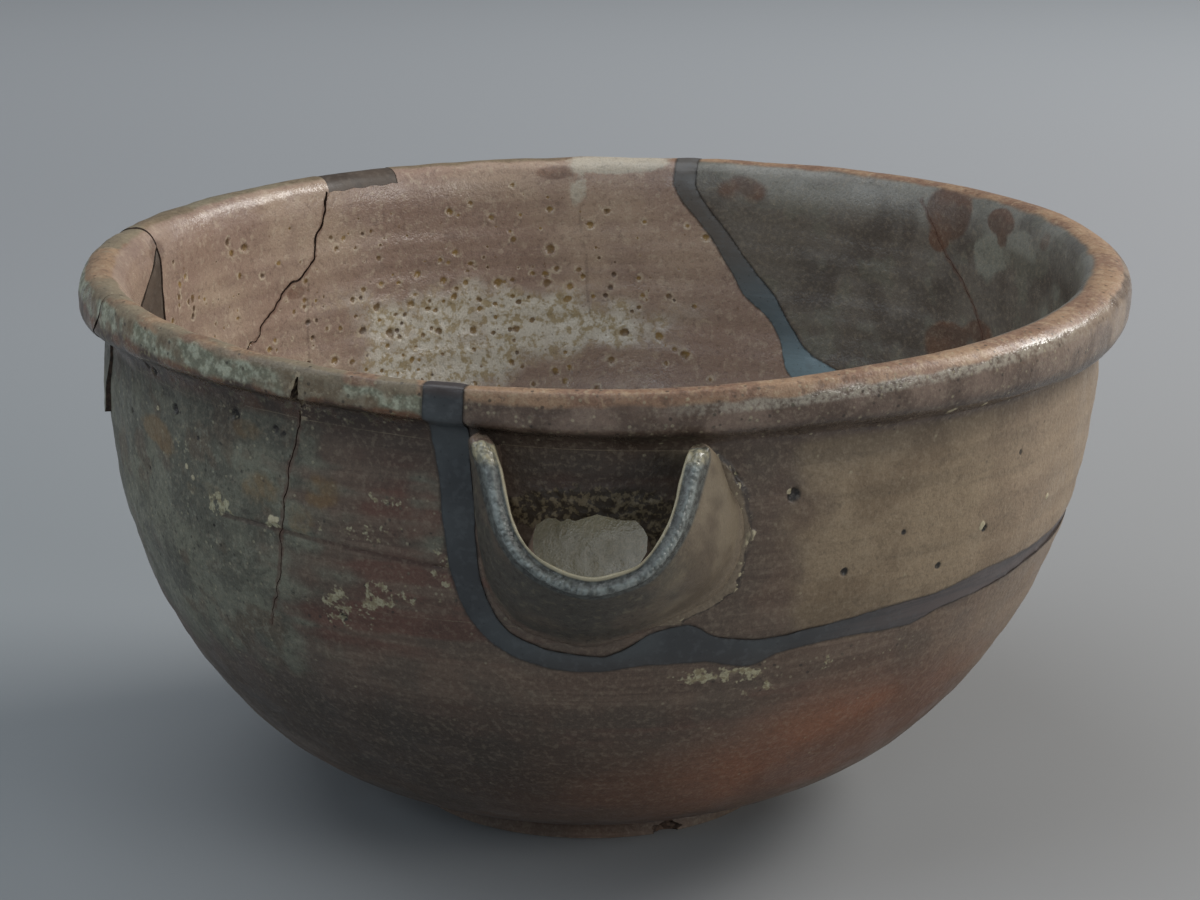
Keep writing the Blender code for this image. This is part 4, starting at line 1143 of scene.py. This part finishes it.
class Tree:
    """Small helper that writes a node tree."""

    def __init__(self, name):
        self.mat = bpy.data.materials.new(name)
        self.mat.use_nodes = True
        self.nt = self.mat.node_tree
        self.shader = self.nt.nodes["Principled BSDF"]
        self.coord = self.nt.nodes.new("ShaderNodeTexCoord").outputs["Object"]
        self.cache = {}

    def link(self, a, b):
        self.nt.links.new(a, b)

    def att(self, name):
        if name not in self.cache:
            n = self.nt.nodes.new("ShaderNodeAttribute")
            n.attribute_name = name
            self.cache[name] = n.outputs["Fac"]
        return self.cache[name]

    def put(self, socket, value):
        if isinstance(value, bpy.types.NodeSocket):
            self.link(value, socket)
        elif isinstance(value, (tuple, list)):
            socket.default_value = value
        else:
            socket.default_value = float(value)

    def math(self, op, a, b=0.0, c=None, clamp=False):
        n = self.nt.nodes.new("ShaderNodeMath")
        n.operation = op
        n.use_clamp = clamp
        self.put(n.inputs[0], a)
        self.put(n.inputs[1], b)
        if c is not None:
            self.put(n.inputs[2], c)
        return n.outputs[0]

    def add(self, a, b):
        return self.math('ADD', a, b)

    def mul(self, a, b):
        return self.math('MULTIPLY', a, b)

    def step(self, x, lo, hi, to_lo=0.0, to_hi=1.0):
        n = self.nt.nodes.new("ShaderNodeMapRange")
        n.interpolation_type = 'SMOOTHSTEP'
        self.put(n.inputs["Value"], x)
        if lo > hi:
            lo, hi, to_lo, to_hi = hi, lo, to_hi, to_lo
        n.inputs["From Min"].default_value = lo
        n.inputs["From Max"].default_value = hi
        n.inputs["To Min"].default_value = to_lo
        n.inputs["To Max"].default_value = to_hi
        return n.outputs["Result"]

    def mix(self, fac, a, b, kind='MIX'):
        n = self.nt.nodes.new("ShaderNodeMix")
        n.data_type = 'RGBA'
        n.blend_type = kind
        self.put(n.inputs[0], fac)
        self.put(n.inputs[6], a)
        self.put(n.inputs[7], b)
        return n.outputs[2]

    def noise(self, size, detail=3.0, rough=0.55, squash=(1, 1, 1), warp=0.0, seed=0.0):
        """Noise with features about size mm; squash scales each axis."""
        m = self.nt.nodes.new("ShaderNodeMapping")
        self.link(self.coord, m.inputs["Vector"])
        m.inputs["Scale"].default_value = tuple(1000.0 / size / s for s in squash)
        m.inputs["Location"].default_value = (seed * 3.17, seed * 1.31, seed * 2.23)
        n = self.nt.nodes.new("ShaderNodeTexNoise")
        n.inputs["Scale"].default_value = 1.0
        n.inputs["Detail"].default_value = detail
        n.inputs["Roughness"].default_value = rough
        n.inputs["Distortion"].default_value = warp
        self.link(m.outputs[0], n.inputs["Vector"])
        return n.outputs["Fac"]

    def cells(self, size, seed=0.0, feature='F1', randomness=1.0):
        m = self.nt.nodes.new("ShaderNodeMapping")
        self.link(self.coord, m.inputs["Vector"])
        m.inputs["Scale"].default_value = (1000.0 / size,) * 3
        m.inputs["Location"].default_value = (seed, seed * 0.7, seed * 1.9)
        n = self.nt.nodes.new("ShaderNodeTexVoronoi")
        n.feature = feature
        n.inputs["Scale"].default_value = 1.0
        n.inputs["Randomness"].default_value = randomness
        self.link(m.outputs[0], n.inputs["Vector"])
        return n.outputs["Distance"], n.outputs["Color"]

    def bump(self, height, mm, strength=1.0, normal=None):
        n = self.nt.nodes.new("ShaderNodeBump")
        n.inputs["Strength"].default_value = strength
        n.inputs["Distance"].default_value = mm * MM
        self.put(n.inputs["Height"], height)
        if normal is not None:
            self.link(normal, n.inputs["Normal"])
        return n.outputs["Normal"]


def stoneware(name):
    t = Tree(name)
    A = t.att
    inner, roll, theta, high, azim = A("inner"), A("roll"), A("theta"), A("high"), A("azim")
    outward = t.math('SUBTRACT', 1.0, inner)
    big = A("n_big")
    patch = A("n_patch")
    patch2 = A("n_patch2")
    mid = A("n_mid")
    fleck_n = t.noise(2.6, 2, 0.7, seed=8)
    small = t.noise(1.5, 2, 0.62, seed=3)
    grain = t.noise(0.55, 1, 0.7, seed=4)
    lines = t.noise(60, 2, 0.6, squash=(1, 1, 0.06), seed=5)
    fine_lines = t.noise(40, 1, 0.65, squash=(1, 1, 0.018), seed=6)

    def rough_edge(mask, edge=0.5, soft=0.2, jitter=0.6, noise=None):
        """A mask with a broken edge."""
        v = t.add(mask, t.mul(t.add(noise if noise is not None else mid, -0.5), jitter))
        return t.step(v, edge - soft, edge + soft)

    # outside ground: brown-grey, faintly lined by the wheel
    base = t.mix(t.step(lines, 0.36, 0.66), srgb(96, 78, 66), srgb(114, 96, 82))
    base = t.mix(t.mul(t.step(patch, 0.42, 0.66), 0.55), base, srgb(88, 78, 68))
    base = t.mix(t.mul(t.step(fine_lines, 0.50, 0.70), 0.45), base, srgb(86, 68, 58))
    khaki = t.mix(t.step(patch, 0.36, 0.64), srgb(122, 104, 82), srgb(142, 124, 100))
    khaki = t.mix(t.mul(t.step(lines, 0.46, 0.64), 0.35), khaki, srgb(104, 90, 72))
    base = t.mix(rough_edge(A("khaki"), 0.45, 0.3), base, khaki)
    base = t.mix(t.mul(rough_edge(A("pale"), 0.55, 0.4), 0.5), base, srgb(158, 138, 118))
    ashy = t.mix(t.step(patch, 0.38, 0.62), srgb(92, 92, 80), srgb(118, 118, 102))
    ashy = t.mix(t.mul(t.step(patch2, 0.54, 0.66), 0.6), ashy, srgb(98, 82, 66))
    ashy = t.mix(t.mul(t.step(fleck_n, 0.54, 0.66), 0.45), ashy, srgb(140, 140, 124))
    ashy = t.mix(t.mul(t.step(fleck_n, 0.44, 0.34), 0.5), ashy, srgb(66, 64, 56))
    base = t.mix(t.mul(rough_edge(A("ash"), 0.42, 0.28, 0.9), 0.94), base, ashy)
    red = t.mix(t.step(mid, 0.38, 0.64), srgb(108, 72, 60), srgb(92, 62, 52))
    base = t.mix(t.mul(rough_edge(A("red"), 0.42, 0.28, 0.7, lines), 0.72), base, red)
    base = t.mix(t.mul(rough_edge(A("ochre"), 0.45, 0.3, 0.8, fleck_n), 0.6), base, srgb(126, 98, 60))
    base = t.mix(t.mul(A("warm"), 0.85), base,
                 t.mix(t.step(big, 0.35, 0.65), srgb(112, 74, 54), srgb(140, 88, 60)))
    base = t.mix(t.mul(A("soot"), 0.6), base, srgb(48, 42, 36))

    # rolled rim: brown to purple-grey, ash green and rusty at the left, whitish grain lightened as a painted highlight
    # stripe, painted shade beneath
    rolled = t.mix(t.step(patch, 0.38, 0.64), srgb(92, 76, 66), srgb(122, 104, 92))
    rolled = t.mix(t.mul(t.step(fleck_n, 0.56, 0.68), 0.4), rolled, srgb(142, 128, 112))
    # pale grains on the upper outer side of the roll, partly real whitish grain and partly a painted highlight stripe
    pale_grain_and_highlight = t.mul(t.mul(t.step(theta, 22.0, 36.0), t.step(theta, 62.0, 50.0)),
                  t.mul(t.step(azim, -88.0, -76.0), t.step(azim, -22.0, -40.0)))
    rolled = t.mix(t.mul(pale_grain_and_highlight, t.step(small, 0.34, 0.62, 0.15, 0.7)), rolled, srgb(170, 164, 150))
    right_roll = t.mul(t.step(azim, -50.0, -10.0), t.step(azim, 88.0, 55.0))
    rolled = t.mix(t.mul(right_roll, t.step(patch, 0.4, 0.6, 0.3, 0.8)), rolled, srgb(156, 138, 120))
    left_roll = t.mul(t.step(azim, -102.5, -106.0), t.step(azim, -235.0, -215.0))
    wobble = t.add(theta, t.mul(t.add(patch, -0.5), 70.0))
    green = t.mix(t.step(fleck_n, 0.40, 0.64), srgb(120, 120, 102), srgb(168, 170, 150))
    green = t.mix(t.mul(t.step(patch2, 0.50, 0.62), 0.75), green, srgb(112, 92, 72))
    rusty = t.mix(t.step(mid, 0.40, 0.62), srgb(112, 80, 58), srgb(78, 60, 48))
    rusty = t.mix(t.mul(t.step(fleck_n, 0.57, 0.66), 0.6), rusty, srgb(140, 132, 100))
    left_col = t.mix(t.step(wobble, 20.0, 0.0), green, rusty)
    rolled = t.mix(left_roll, rolled, left_col)
    base = t.mix(roll, base, rolled)
    # painted shade under the rolled rim, on its underside and on the wall just below
    base = t.mix(t.mul(A("under"), 0.55), base, srgb(42, 34, 29))

    # inside of the bowl's body: mauve-brown with ash, burst bubbles and pinholes
    mauve = t.mix(t.step(big, 0.36, 0.64), srgb(168, 146, 128), srgb(150, 126, 112))
    mauve = t.mix(t.mul(t.step(patch, 0.46, 0.66), 0.5), mauve, srgb(142, 120, 108))
    mauve = t.mix(t.mul(t.step(lines, 0.48, 0.68), 0.3), mauve, srgb(134, 110, 100))
    mauve = t.mix(t.mul(t.step(fleck_n, 0.53, 0.68), 0.45), mauve, srgb(186, 168, 148))
    # inside of the large sherd: dark grey, milky below the lip, with a painted sheen band on the inner side of the rim
    grey = t.mix(t.step(patch, 0.38, 0.62), srgb(84, 78, 72), srgb(104, 98, 90))
    grey = t.mix(t.mul(t.step(patch2, 0.52, 0.66), 0.5), grey, srgb(112, 112, 100))
    grey = t.mix(t.mul(rough_edge(A("milky"), 0.5, 0.2, 0.9), 0.6), grey, srgb(140, 142, 130))
    # painted sheen: a lighter band on the inner side of the roll, just under the lip
    band = t.mul(t.step(theta, 108.0, 120.0), t.step(high, 139.5, 147.0))
    grey = t.mix(t.mul(band, t.step(patch, 0.36, 0.62, 0.35, 0.8)), grey, srgb(140, 138, 130))
    within = t.mix(A("mauve"), grey, mauve)
    mottle = t.add(A("cream"), t.mul(t.add(patch2, -0.5), 1.3))
    creamy = t.step(mottle, 0.15, 1.0)
    cream_col = t.mix(t.step(fleck_n, 0.44, 0.64), srgb(216, 210, 196), srgb(168, 152, 118))
    within = t.mix(t.mul(creamy, t.step(A("cream"), 0.0, 0.5, 0.0, 0.88)), within, cream_col)
    # the floor of the bowl: smooth olive-tan ash
    within = t.mix(t.step(high, 68.0, 46.0), within, t.mix(t.step(big, 0.38, 0.62), srgb(128, 122, 96), srgb(112, 106, 84)))
    rust = t.mix(t.step(mid, 0.4, 0.62), srgb(106, 74, 58), srgb(88, 64, 52))
    within = t.mix(t.mul(rough_edge(A("rust"), 0.45, 0.2, 0.5), t.step(A("mauve"), 0.0, 1.0, 0.74, 0.55)), within, rust)
    c = t.add(A("crater"), t.mul(t.add(small, -0.5), 0.5))
    ring = t.mul(t.mul(t.step(c, 1.9, 1.35), t.step(c, 0.95, 1.15)), t.step(fleck_n, 0.42, 0.6, 0.05, 0.5))
    within = t.mix(ring, within, srgb(194, 180, 156))
    tone = mid
    floor_c = t.mix(t.step(tone, 0.40, 0.54), srgb(142, 114, 66), srgb(114, 88, 54))
    floor_c = t.mix(t.step(tone, 0.58, 0.64), floor_c, srgb(86, 66, 48))
    within = t.mix(t.mul(t.step(c, 1.05, 0.62), 0.92), within, floor_c)
    pin = t.mul(t.step(fleck_n, 0.31, 0.25), A("mauve"))
    within = t.mix(t.mul(pin, 0.6), within, srgb(112, 84, 56))
    within = t.mix(t.mul(t.step(A("hair"), 0.8, 0.1), 0.38), within, srgb(92, 74, 64))
    base = t.mix(inner, base, within)

    # rim top: worn pinkish brown clay, greenish ash at its far left
    wob = t.add(theta, t.mul(t.add(mid, -0.5), 20.0))
    top = t.mul(t.mul(t.step(wob, 49.0, 58.0), t.step(wob, 122.0, 108.0)), t.step(high, 146.5, 148.5))
    rimcol = t.mix(t.step(patch, 0.38, 0.62), srgb(154, 124, 98), srgb(134, 104, 84))
    rimcol = t.mix(t.mul(t.step(fleck_n, 0.52, 0.66), 0.55), rimcol, srgb(172, 148, 120))
    rimcol = t.mix(t.mul(t.step(fleck_n, 0.42, 0.34), 0.5), rimcol, srgb(98, 76, 62))
    back_left = t.mul(t.step(azim, -268.0, -262.0), t.step(azim, -186.0, -200.0))
    rimcol = t.mix(t.mul(back_left, 0.65), rimcol, srgb(104, 98, 78))
    rimcol = t.mix(t.mul(left_roll, t.step(patch2, 0.44, 0.60, 0.1, 0.75)), rimcol, srgb(128, 120, 100))
    base = t.mix(top, base, rimcol)
    base = t.mix(t.mul(rough_edge(A("deposit"), 0.5, 0.22, 0.8, fleck_n), 0.85), base, srgb(186, 178, 162))

    # marks on the outside
    base = t.mix(t.step(A("pit"), 1.15, 0.7), base, srgb(38, 33, 29))
    base = t.mix(t.mul(t.step(A("fleck"), 1.1, 0.8), 0.9), base, srgb(188, 178, 148))
    base = t.mix(t.mul(t.step(A("groove"), 1.0, 0.3), 0.6), base, srgb(74, 50, 42))
    crusty = t.step(t.add(A("crust"), t.mul(t.add(fleck_n, -0.5), 1.6)), 0.40, 0.70)
    base = t.mix(t.mul(crusty, 0.85), base, t.mix(t.step(small, 0.46, 0.60), srgb(58, 48, 36), srgb(112, 98, 72)))
    # smeared clay by the spout, with a dark ragged edge (a crack, with painted shadow under the pad's broken lip) and
    # pale crumbs
    fl = A("flank")
    clay_side = t.mul(t.step(fl, 0.5, -0.3), t.step(fl, -14.0, -5.0))
    base = t.mix(t.mul(clay_side, t.step(patch, 0.36, 0.6, 0.25, 0.7)), base, srgb(132, 118, 98))
    # painted shadow along the pad's ragged edge, over a dark crack
    edge = t.mul(t.step(fl, -0.5, 0.1), t.step(fl, 1.5, 0.5))
    base = t.mix(t.mul(edge, 0.75), base, srgb(42, 34, 30))
    crumb = t.mul(t.mul(t.step(fl, -1.6, -0.5), t.step(fl, 1.2, 0.2)), t.step(fleck_n, 0.56, 0.62))
    base = t.mix(t.mul(crumb, 0.85), base, srgb(186, 176, 144))

    # specks: pale ash grains and dark iron
    d, colour = t.cells(1.7, 9.0)
    sep = t.nt.nodes.new("ShaderNodeSeparateColor")
    t.link(colour, sep.inputs[0])
    cover = t.math('MAXIMUM', t.mul(A("ash"), 0.75), t.mul(roll, 0.7))
    cover = t.math('MAXIMUM', cover, t.mul(A("crumbs"), 1.6))
    cover = t.math('MAXIMUM', cover, 0.14)
    dd = t.add(d, t.mul(t.add(small, -0.5), 0.18))
    pale_speck = t.mul(t.step(dd, 0.34, 0.16), t.step(t.add(sep.outputs[0], t.mul(cover, 0.34)), 1.0, 1.06))
    dark_speck = t.mul(t.step(dd, 0.36, 0.18), t.step(t.add(sep.outputs[1], t.mul(cover, 0.26)), 1.0, 1.06))
    pale_speck = t.mul(pale_speck, outward)
    dark_speck = t.mul(dark_speck, outward)
    base = t.mix(t.mul(pale_speck, 0.42), base, srgb(178, 170, 142))
    base = t.mix(t.mul(dark_speck, 0.66), base, srgb(42, 37, 32))
    crumbly = t.mul(t.step(t.add(A("crumbs"), t.mul(t.add(fleck_n, -0.5), 2.2)), 0.72, 0.95), outward)
    base = t.mix(t.mul(crumbly, 0.72), base, t.mix(t.step(small, 0.45, 0.6), srgb(190, 184, 152), srgb(142, 132, 98)))
    # grain
    base = t.mix(t.mul(t.step(grain, 0.40, 0.66), 0.26), base,
                 t.mix(1.0, base, srgb(178, 172, 162), 'MULTIPLY'))
    base = t.mix(t.mul(t.step(small, 0.50, 0.68), 0.17), base, srgb(168, 154, 132))
    base = t.mix(t.mul(t.step(small, 0.44, 0.32), 0.22), base, srgb(56, 48, 40))

    # spout: dark body, dark blue-grey lip whose pinched ridge carries a painted pale sheen, thin cream inner edge
    lip, lside, spout = A("lip"), A("lip_side"), A("spout")
    spout_col = t.mix(t.step(patch, 0.40, 0.64), srgb(66, 64, 56), srgb(86, 76, 64))
    spout_col = t.mix(t.mul(t.step(fleck_n, 0.57, 0.66), 0.5), spout_col, srgb(112, 106, 86))
    spout_col = t.mix(t.mul(t.step(fleck_n, 0.43, 0.36), 0.6), spout_col, srgb(40, 36, 32))
    right_side = t.step(t.add(azim, t.mul(mid, 4.0)), -85.0, -79.5)
    spout_col = t.mix(t.mul(right_side, 0.75), spout_col,
                      t.mix(t.step(patch2, 0.40, 0.62), srgb(106, 92, 74), srgb(138, 124, 102)))
    base = t.mix(t.mul(spout, 0.86), base, spout_col)
    on_lip = t.mul(t.step(lip, 5.2, 3.8), t.step(spout, 0.15, 0.5))
    on_lip = t.mul(on_lip, t.step(lside, 4.4, 3.0))
    base = t.mix(t.mul(on_lip, 0.9), base, t.mix(t.step(small, 0.38, 0.64), srgb(50, 52, 50), srgb(84, 88, 84)))
    # painted highlight: a pale blue-white sheen along the pinched ridge of the lip
    ridge = t.mul(on_lip, t.mul(t.step(lside, -1.1, 0.2), t.step(lside, 2.3, 1.2)))
    base = t.mix(t.mul(ridge, t.step(fleck_n, 0.36, 0.62, 0.15, 0.85)), base, srgb(140, 146, 142))
    edge = t.mul(on_lip, t.step(lside, -1.7, -2.3))
    base = t.mix(t.mul(edge, 0.8), base, srgb(178, 168, 140))
    horn = t.mul(t.mul(t.step(lip, 4.5, 3.0), t.step(high, 136.5, 139.0)), t.step(spout, 0.1, 0.4))
    base = t.mix(t.mul(horn, t.step(fleck_n, 0.4, 0.6, 0.3, 0.85)), base, srgb(172, 162, 132))

    # broken faces, crack edges, and a painted shade line along the mend's joints
    base = t.mix(A("cut"), base, t.mix(t.step(small, 0.4, 0.6), srgb(58, 45, 37), srgb(84, 66, 54)))
    near_crack = t.step(t.add(A("crack"), t.mul(t.add(fleck_n, -0.5), 1.6)), 1.1, 0.3)
    base = t.mix(t.mul(near_crack, 0.5), base, srgb(86, 56, 44))
    base = t.mix(t.mul(t.step(A("gash"), 2.2, 1.0), t.step(small, 0.45, 0.62, 0.0, 0.55)), base, srgb(176, 160, 132))
    # painted shade: a dark line in the crevice along both break lines of the mend
    base = t.mix(t.mul(t.step(t.add(A("seam"), t.mul(t.add(fleck_n, -0.5), 1.0)), 0.8, 0.1), 0.6), base, srgb(46, 39, 34))
    t.link(base, t.shader.inputs["Base Color"])

    # roughness
    rough = t.step(mid, 0.3, 0.7, 0.40, 0.56)
    rough = t.math('ADD', rough, t.mul(A("ash"), 0.04))
    rough = t.math('SUBTRACT', rough, t.mul(roll, 0.20))
    rough = t.math('SUBTRACT', rough, t.mul(pale_grain_and_highlight, 0.06))
    rough = t.math('SUBTRACT', rough, t.mul(inner, 0.14))
    rough = t.math('SUBTRACT', rough, t.mul(A("cream"), 0.06))
    rough = t.math('ADD', rough, t.mul(top, 0.18))
    rough = t.math('ADD', rough, t.mul(A("cut"), 0.3))
    rough = t.math('SUBTRACT', rough, t.mul(on_lip, 0.14))
    rough = t.math('ADD', rough, t.mul(t.add(grain, -0.5), 0.25), clamp=True)
    t.link(rough, t.shader.inputs["Roughness"])
    t.shader.inputs["Specular IOR Level"].default_value = 0.5

    # relief too fine for the mesh
    h = t.add(t.mul(grain, 0.16), t.mul(small, 0.36))
    h = t.add(h, t.mul(fleck_n, t.mul(outward, 0.45)))
    t.link(t.bump(h, 0.55, 0.75), t.shader.inputs["Normal"])
    return t.mat


def slate_mix(name):
    t = Tree(name)
    big = t.noise(18, 2, 0.5, seed=21)
    small = t.noise(2.2, 2, 0.6, seed=22)
    lines = t.noise(26, 2, 0.6, squash=(1, 1, 0.05), seed=24)
    grain = t.noise(0.5, 1, 0.65, seed=23)
    inner, azim, high = t.att("inner"), t.att("azim"), t.att("high")
    base = t.mix(t.step(big, 0.36, 0.64), srgb(58, 60, 62), srgb(72, 76, 78))
    base = t.mix(t.mul(t.step(high, 84.0, 76.0), 0.6), base, srgb(64, 60, 58))
    # painted reflection: lighter purple-grey on the outside of the filler towards the right
    purple = t.step(t.add(azim, t.mul(big, 8.0)), -68.0, -44.0)
    outside = t.math('SUBTRACT', 1.0, inner)
    base = t.mix(t.mul(t.mul(purple, outside), 0.9), base, t.mix(t.step(lines, 0.4, 0.62), srgb(90, 80, 78), srgb(76, 70, 70)))
    # painted reflection: inside, the filler turns bluish and lighter towards the bottom, standing in for the sheen it
    # takes from the light
    inside = t.mix(t.step(high, 132.0, 104.0), srgb(92, 88, 84), srgb(84, 98, 104))
    inside = t.mix(t.step(high, 104.0, 92.0), inside, srgb(116, 138, 146))
    base = t.mix(t.mul(inner, 0.95), base, inside)
    base = t.mix(t.mul(t.step(small, 0.50, 0.7), 0.22), base, srgb(98, 102, 104))
    top = t.mul(t.step(high, 150.0, 152.5), outside)
    base = t.mix(t.mul(top, 0.6), base, srgb(74, 62, 58))
    d, colour = t.cells(2.4, 6.0)
    base = t.mix(t.mul(t.step(d, 0.16, 0.08), 0.30), base, srgb(28, 26, 26))
    # painted shade: a dark line along the filler's edges, in the crevice at the joint
    base = t.mix(t.mul(t.step(t.add(t.att("edge"), t.mul(t.add(small, -0.5), 1.0)), 0.55, 0.05), 0.5), base, srgb(34, 31, 29))
    t.link(base, t.shader.inputs["Base Color"])
    r = t.math('ADD', t.step(small, 0.3, 0.7, 0.30, 0.42), t.mul(t.add(grain, -0.5), 0.14))
    t.link(r, t.shader.inputs["Roughness"])
    h = t.add(t.mul(grain, 0.10), t.mul(small, 0.22))
    h = t.add(h, t.mul(lines, 0.35))
    t.link(t.bump(h, 0.4, 0.6), t.shader.inputs["Normal"])
    return t.mat


def filler(name, dark, light, rough):
    t = Tree(name)
    big = t.noise(14, 2, 0.5, seed=31)
    small = t.noise(2.2, 2, 0.6, seed=32)
    grain = t.noise(0.5, 1, 0.65, seed=33)
    base = t.mix(t.step(big, 0.36, 0.64), dark, light)
    base = t.mix(t.mul(t.step(small, 0.5, 0.68), 0.25), base, srgb(110, 98, 86))
    t.link(base, t.shader.inputs["Base Color"])
    r = t.math('ADD', t.step(small, 0.3, 0.7, rough - 0.06, rough + 0.08), t.mul(t.add(grain, -0.5), 0.12))
    t.link(r, t.shader.inputs["Roughness"])
    h = t.add(t.mul(grain, 0.12), t.mul(small, 0.28))
    t.link(t.bump(h, 0.4, 0.6), t.shader.inputs["Normal"])
    return t.mat


clay = stoneware("stoneware")
clay_sherd = stoneware("stoneware_sherd")
slate = slate_mix("slate_filler")
brown = filler("brown_filler", srgb(66, 56, 48), srgb(82, 70, 60), 0.5)


def drop_slivers(bm):
    """Remove specks of a few faces that hang on the surface by an edge or a corner."""
    bmesh.ops.dissolve_degenerate(bm, dist=2e-6, edges=bm.edges[:])
    bmesh.ops.remove_doubles(bm, verts=bm.verts[:], dist=1e-7)
    # a corner where only two faces meet is just a point along their edge
    bmesh.ops.dissolve_verts(bm, verts=[v for v in bm.verts if len(v.link_edges) == 2])
    bmesh.ops.triangulate(bm, faces=bm.faces[:])
    for _ in range(4):
        pinched = [e for e in bm.edges if len(e.link_faces) != 2 and e.calc_length() < 4e-4]
        if not pinched:
            break
        bmesh.ops.collapse(bm, edges=pinched)
    seen = set()
    stray = []
    for face in bm.faces:
        if face in seen:
            continue
        seen.add(face)
        group, todo = [face], [face]
        while todo:
            for e in todo.pop().edges:
                if len(e.link_faces) != 2:
                    continue
                for other in e.link_faces:
                    if other not in seen:
                        seen.add(other)
                        group.append(other)
                        todo.append(other)
        if len(group) < 40:
            stray += group
    if stray:
        bmesh.ops.delete(bm, geom=stray, context='FACES')
    loose = [v for v in bm.verts if not v.link_faces]
    if loose:
        bmesh.ops.delete(bm, geom=loose, context='VERTS')
    return sum(1 for e in bm.edges if len(e.link_faces) != 2)


def finish_mesh(obj, material, node, sharp=42.0):
    mesh = obj.data
    p = points_of(mesh) * MM
    mesh.vertices.foreach_set("co", p.astype(np.float32).reshape(-1))
    mesh.materials.clear()
    mesh.materials.append(material)
    mesh.polygons.foreach_set("material_index", np.zeros(len(mesh.polygons), np.int32))
    for junk in ("az", "tt"):
        if junk in mesh.attributes:
            mesh.attributes.remove(mesh.attributes[junk])
    bm = bmesh.new()
    bm.from_mesh(mesh)
    bmesh.ops.triangulate(bm, faces=[f for f in bm.faces if len(f.verts) > 4])
    bad = drop_slivers(bm)
    bm.to_mesh(mesh)
    bm.free()
    mesh.shade_smooth()
    mesh.set_sharp_from_angle(angle=math.radians(sharp))
    mesh.update()
    tri = sum(len(q.vertices) - 2 for q in mesh.polygons)
    print(obj.name, "triangles", tri, "edges not shared by two faces", bad)
    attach(obj, "root")
    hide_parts(node)


finish_mesh(body, clay, "bowl_body")
finish_mesh(sherd, clay_sherd, "spout_sherd")
finish_mesh(mend, slate, "mend_seam")
finish_mesh(left, clay, "left_rim_sherd")
finish_mesh(wedge, brown, "wedge_fill")
finish_mesh(fill, brown, "rim_fill")

# ----------------------------------------------------------------------------
# floor, light and camera
# ----------------------------------------------------------------------------
floor_mesh = bpy.data.meshes.new("floor")
bm = bmesh.new()
bmesh.ops.create_circle(bm, cap_ends=True, segments=96, radius=7.0)
bm.to_mesh(floor_mesh)
bm.free()
floor = link("floor", floor_mesh)
floor.location = (0, 0, -0.0002)
t = Tree("floor")
sep = t.nt.nodes.new("ShaderNodeSeparateXYZ")
t.link(t.coord, sep.inputs[0])
# painted light falloff: the floor is darker and cooler towards the left and brighter further back
near_col = t.mix(t.step(sep.outputs[0], -0.35, 0.25), srgb(140, 145, 148), srgb(146, 146, 146))
far_col = t.mix(t.step(sep.outputs[0], -0.8, 0.8), srgb(152, 156, 160), srgb(158, 158, 160))
floor_col = t.mix(t.step(sep.outputs[1], 0.15, 0.75), near_col, far_col)
floor_col = t.mix(t.step(sep.outputs[1], 0.6, 1.5), floor_col, srgb(184, 188, 192))
t.link(t.mix(0.07, floor_col, srgb(164, 165, 168)), t.shader.inputs["Base Color"])
t.shader.inputs["Roughness"].default_value = 0.8
t.shader.inputs["Specular IOR Level"].default_value = 0.3
floor.data.materials.append(t.mat)
floor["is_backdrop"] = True


def lamp(name, direction, distance, size, radiance, colour):
    """A soft rectangular source, seen from the bowl in a direction, of an even brightness."""
    data = bpy.data.lights.new(name, 'AREA')
    data.shape = 'RECTANGLE'
    data.size, data.size_y = size
    data.energy = radiance * size[0] * size[1] * math.pi
    data.color = colour
    obj = bpy.data.objects.new(name, data)
    bpy.context.scene.collection.objects.link(obj)
    v = Vector(direction).normalized()
    obj.location = Vector((0, 0, 0.1)) + v * distance
    obj.rotation_euler = (-v).to_track_quat('-Z', 'Y').to_euler()
    return obj


lamp("key", (0.76, 0.30, 0.57), 1.9, (0.95, 0.75), 13.0, (1.0, 0.985, 0.955))
lamp("side", (0.80, -0.52, 0.30), 1.8, (0.9, 0.5), 6.5, (1.0, 0.98, 0.95))
lamp("ceiling", (-0.30, -0.10, 0.95), 1.8, (1.7, 1.5), 1.9, (0.90, 0.95, 1.0))
lamp("left", (-0.86, -0.30, 0.42), 1.9, (1.3, 0.9), 1.7, (0.84, 0.92, 1.0))
lamp("front", (-0.14, -0.90, 0.42), 2.1, (0.8, 0.45), 3.6, (0.74, 0.88, 1.0))

world = bpy.data.worlds.new("world")
bpy.context.scene.world = world
world.use_nodes = True
world.node_tree.nodes["Background"].inputs["Color"].default_value = (0.66, 0.69, 0.74, 1.0)
world.node_tree.nodes["Background"].inputs["Strength"].default_value = 0.16

cam_data = bpy.data.cameras.new("camera")
cam_data.lens = 99.03
cam_data.sensor_width = 36.0
cam_data.sensor_fit = 'HORIZONTAL'
cam_data.clip_start = 0.01
cam_data.clip_end = 50.0
cam = bpy.data.objects.new("camera", cam_data)
bpy.context.scene.collection.objects.link(cam)
cam.location = (0.0029, -0.900, 0.3608)
cam.rotation_euler = (math.radians(90.0 - 16.34), 0.0, 0.0)
bpy.context.scene.camera = cam
bpy.context.scene.view_settings.view_transform = 'Standard'

low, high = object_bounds()
